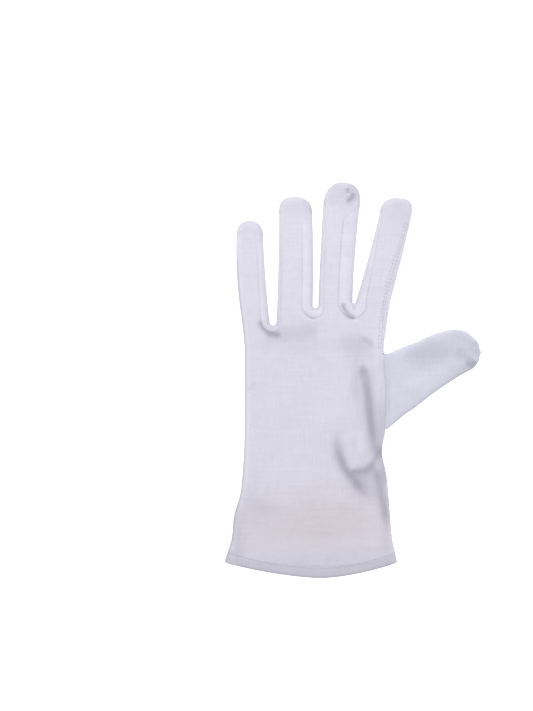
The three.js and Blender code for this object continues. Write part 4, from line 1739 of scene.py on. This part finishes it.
def shade_back(plan: Plan, x: Array, y: Array) -> Array:
    """The painted shade and light of points of the back, as colour multipliers.

    Args:
        plan: The plan.
        x: x of the points.
        y: y of the points.

    Returns:
        Red, green and blue a row: patches of painted shade, light and tint fade out as bells, exp
            of
        minus the squared way from the middle over the half size, and folds, seams and the outline
        darken with painted shade, or lighten with a painted highlight where a fold's tone is below
        zero.
    """
    shade = np.ones((len(x), 3))
    for patch in SHADE_LIGHT_AND_TINT_PATCHES:
        lean = math.radians(patch.lean)
        dx, dy = x - patch.x, y - patch.y
        across = (dx * math.cos(lean) - dy * math.sin(lean)) / patch.half_x
        up = (dx * math.sin(lean) + dy * math.cos(lean)) / patch.half_y
        bell = np.exp(-(across**2) - up**2)[:, None]
        shade *= 1 + (np.array(patch.shade) - 1) * bell
    for fold in (*FOLDS, *LOOPS, *plan.seams):
        shade *= 1 - fold.tone * fold.bell(x, y)[:, None] * PAINTED_SHADOW_TINT
    # painted shade along the outline
    outline = np.exp(-((plan.inset(x, y) / plan.outline_width) ** 2))[:, None]
    return shade * (1 - plan.outline_shade * outline)


@dataclass(frozen=True)
class Studio:
    """The white ground, the soft lamps and the camera above the glove."""

    ground: Paper = Paper()
    ground_half: float = 1.5
    ground_level: float = -0.0002
    world: float = 0.76
    lamp_power: float = 6.0
    lamp_size: float = 1.2
    lamp_place: tuple[float, float, float] = (-0.15, 0.45, 1.15)
    photo_height: float = 0.4266
    centre: tuple[float, float] = (-0.05188, 0.01458)
    glove_level: float = 0.0045
    lens: float = 100.0
    sensor: float = 36.0

    def light(self) -> None:
        """Sets the world's even light and one large lamp from above the fingertips."""
        world = bpy.data.worlds.new("studio")
        world.use_nodes = True
        background = world.node_tree.nodes["Background"]
        background.inputs["Color"].default_value = (1.0, 1.0, 1.0, 1.0)
        background.inputs["Strength"].default_value = self.world
        bpy.context.scene.world = world
        data = bpy.data.lights.new("soft_lamp", "AREA")
        data.energy = self.lamp_power
        data.size = self.lamp_size
        lamp = bpy.data.objects.new("soft_lamp", data)
        lamp.location = self.lamp_place
        lamp.rotation_euler = (-Vector(self.lamp_place)).to_track_quat("-Z", "Y").to_euler()
        bpy.context.scene.collection.objects.link(lamp)

    def lay_ground(self) -> None:
        """Lays the ground, a plain square under the glove."""
        half, level = self.ground_half, self.ground_level
        mesh = bpy.data.meshes.new("ground")
        corners = [(-half, -half), (half, -half), (half, half), (-half, half)]
        mesh.from_pydata([(x, y, level) for x, y in corners], [], [(0, 1, 2, 3)])
        mesh.materials.append(self.ground.make())
        ground = bpy.data.objects.new("ground", mesh)
        bpy.context.scene.collection.objects.link(ground)

    def aim(self) -> None:
        """Sets the camera straight above, as far off as makes its height span the photo's."""
        data = bpy.data.cameras.new("camera")
        data.lens = self.lens
        data.sensor_width = self.sensor
        camera = bpy.data.objects.new("camera", data)
        reach = self.photo_height * self.lens / self.sensor
        camera.location = (*self.centre, self.glove_level + reach)
        bpy.context.scene.collection.objects.link(camera)
        bpy.context.scene.camera = camera
        bpy.context.scene.view_settings.view_transform = "Standard"


def main() -> None:
    """Builds the glove piece by piece, the ground, the light and the camera."""
    logging.basicConfig(level=logging.INFO, format="%(message)s")
    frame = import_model()
    LOG.info("frame nodes: %s", ", ".join(sorted(frame["nodes"])))
    plan = replace(Plan(), seams=seam_folds(Plan()))
    fine = Division()
    coarse = Division(crotch=10, side=50, end=16, finger=18, hand=(60, 30, 20), turn=6)
    Back(plan, fine, "back_panel", "back_cotton", Cotton("back_jersey")).build()
    Palm(plan, coarse, "palm_panel", "palm_cotton", Cotton("palm_jersey")).build()
    for k, crotch in enumerate(CROTCHES):
        finish = Cotton(f"fork_jersey_{crotch.name}")
        Fork(plan, fine, f"fork_{crotch.name}", "fork_cotton", finish, number=k).build()
    Thumb(plan, fine, "thumb", "thumb_cotton", Cotton("thumb_jersey", lean=-62.0)).build()
    Hem(plan, fine, "cuff_hem", "hem_cotton", Cotton("hem_jersey")).build()
    Stitches(plan).build()
    studio = Studio()
    studio.light()
    studio.lay_ground()
    studio.aim()
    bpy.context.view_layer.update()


if __name__ == "__main__":
    main()
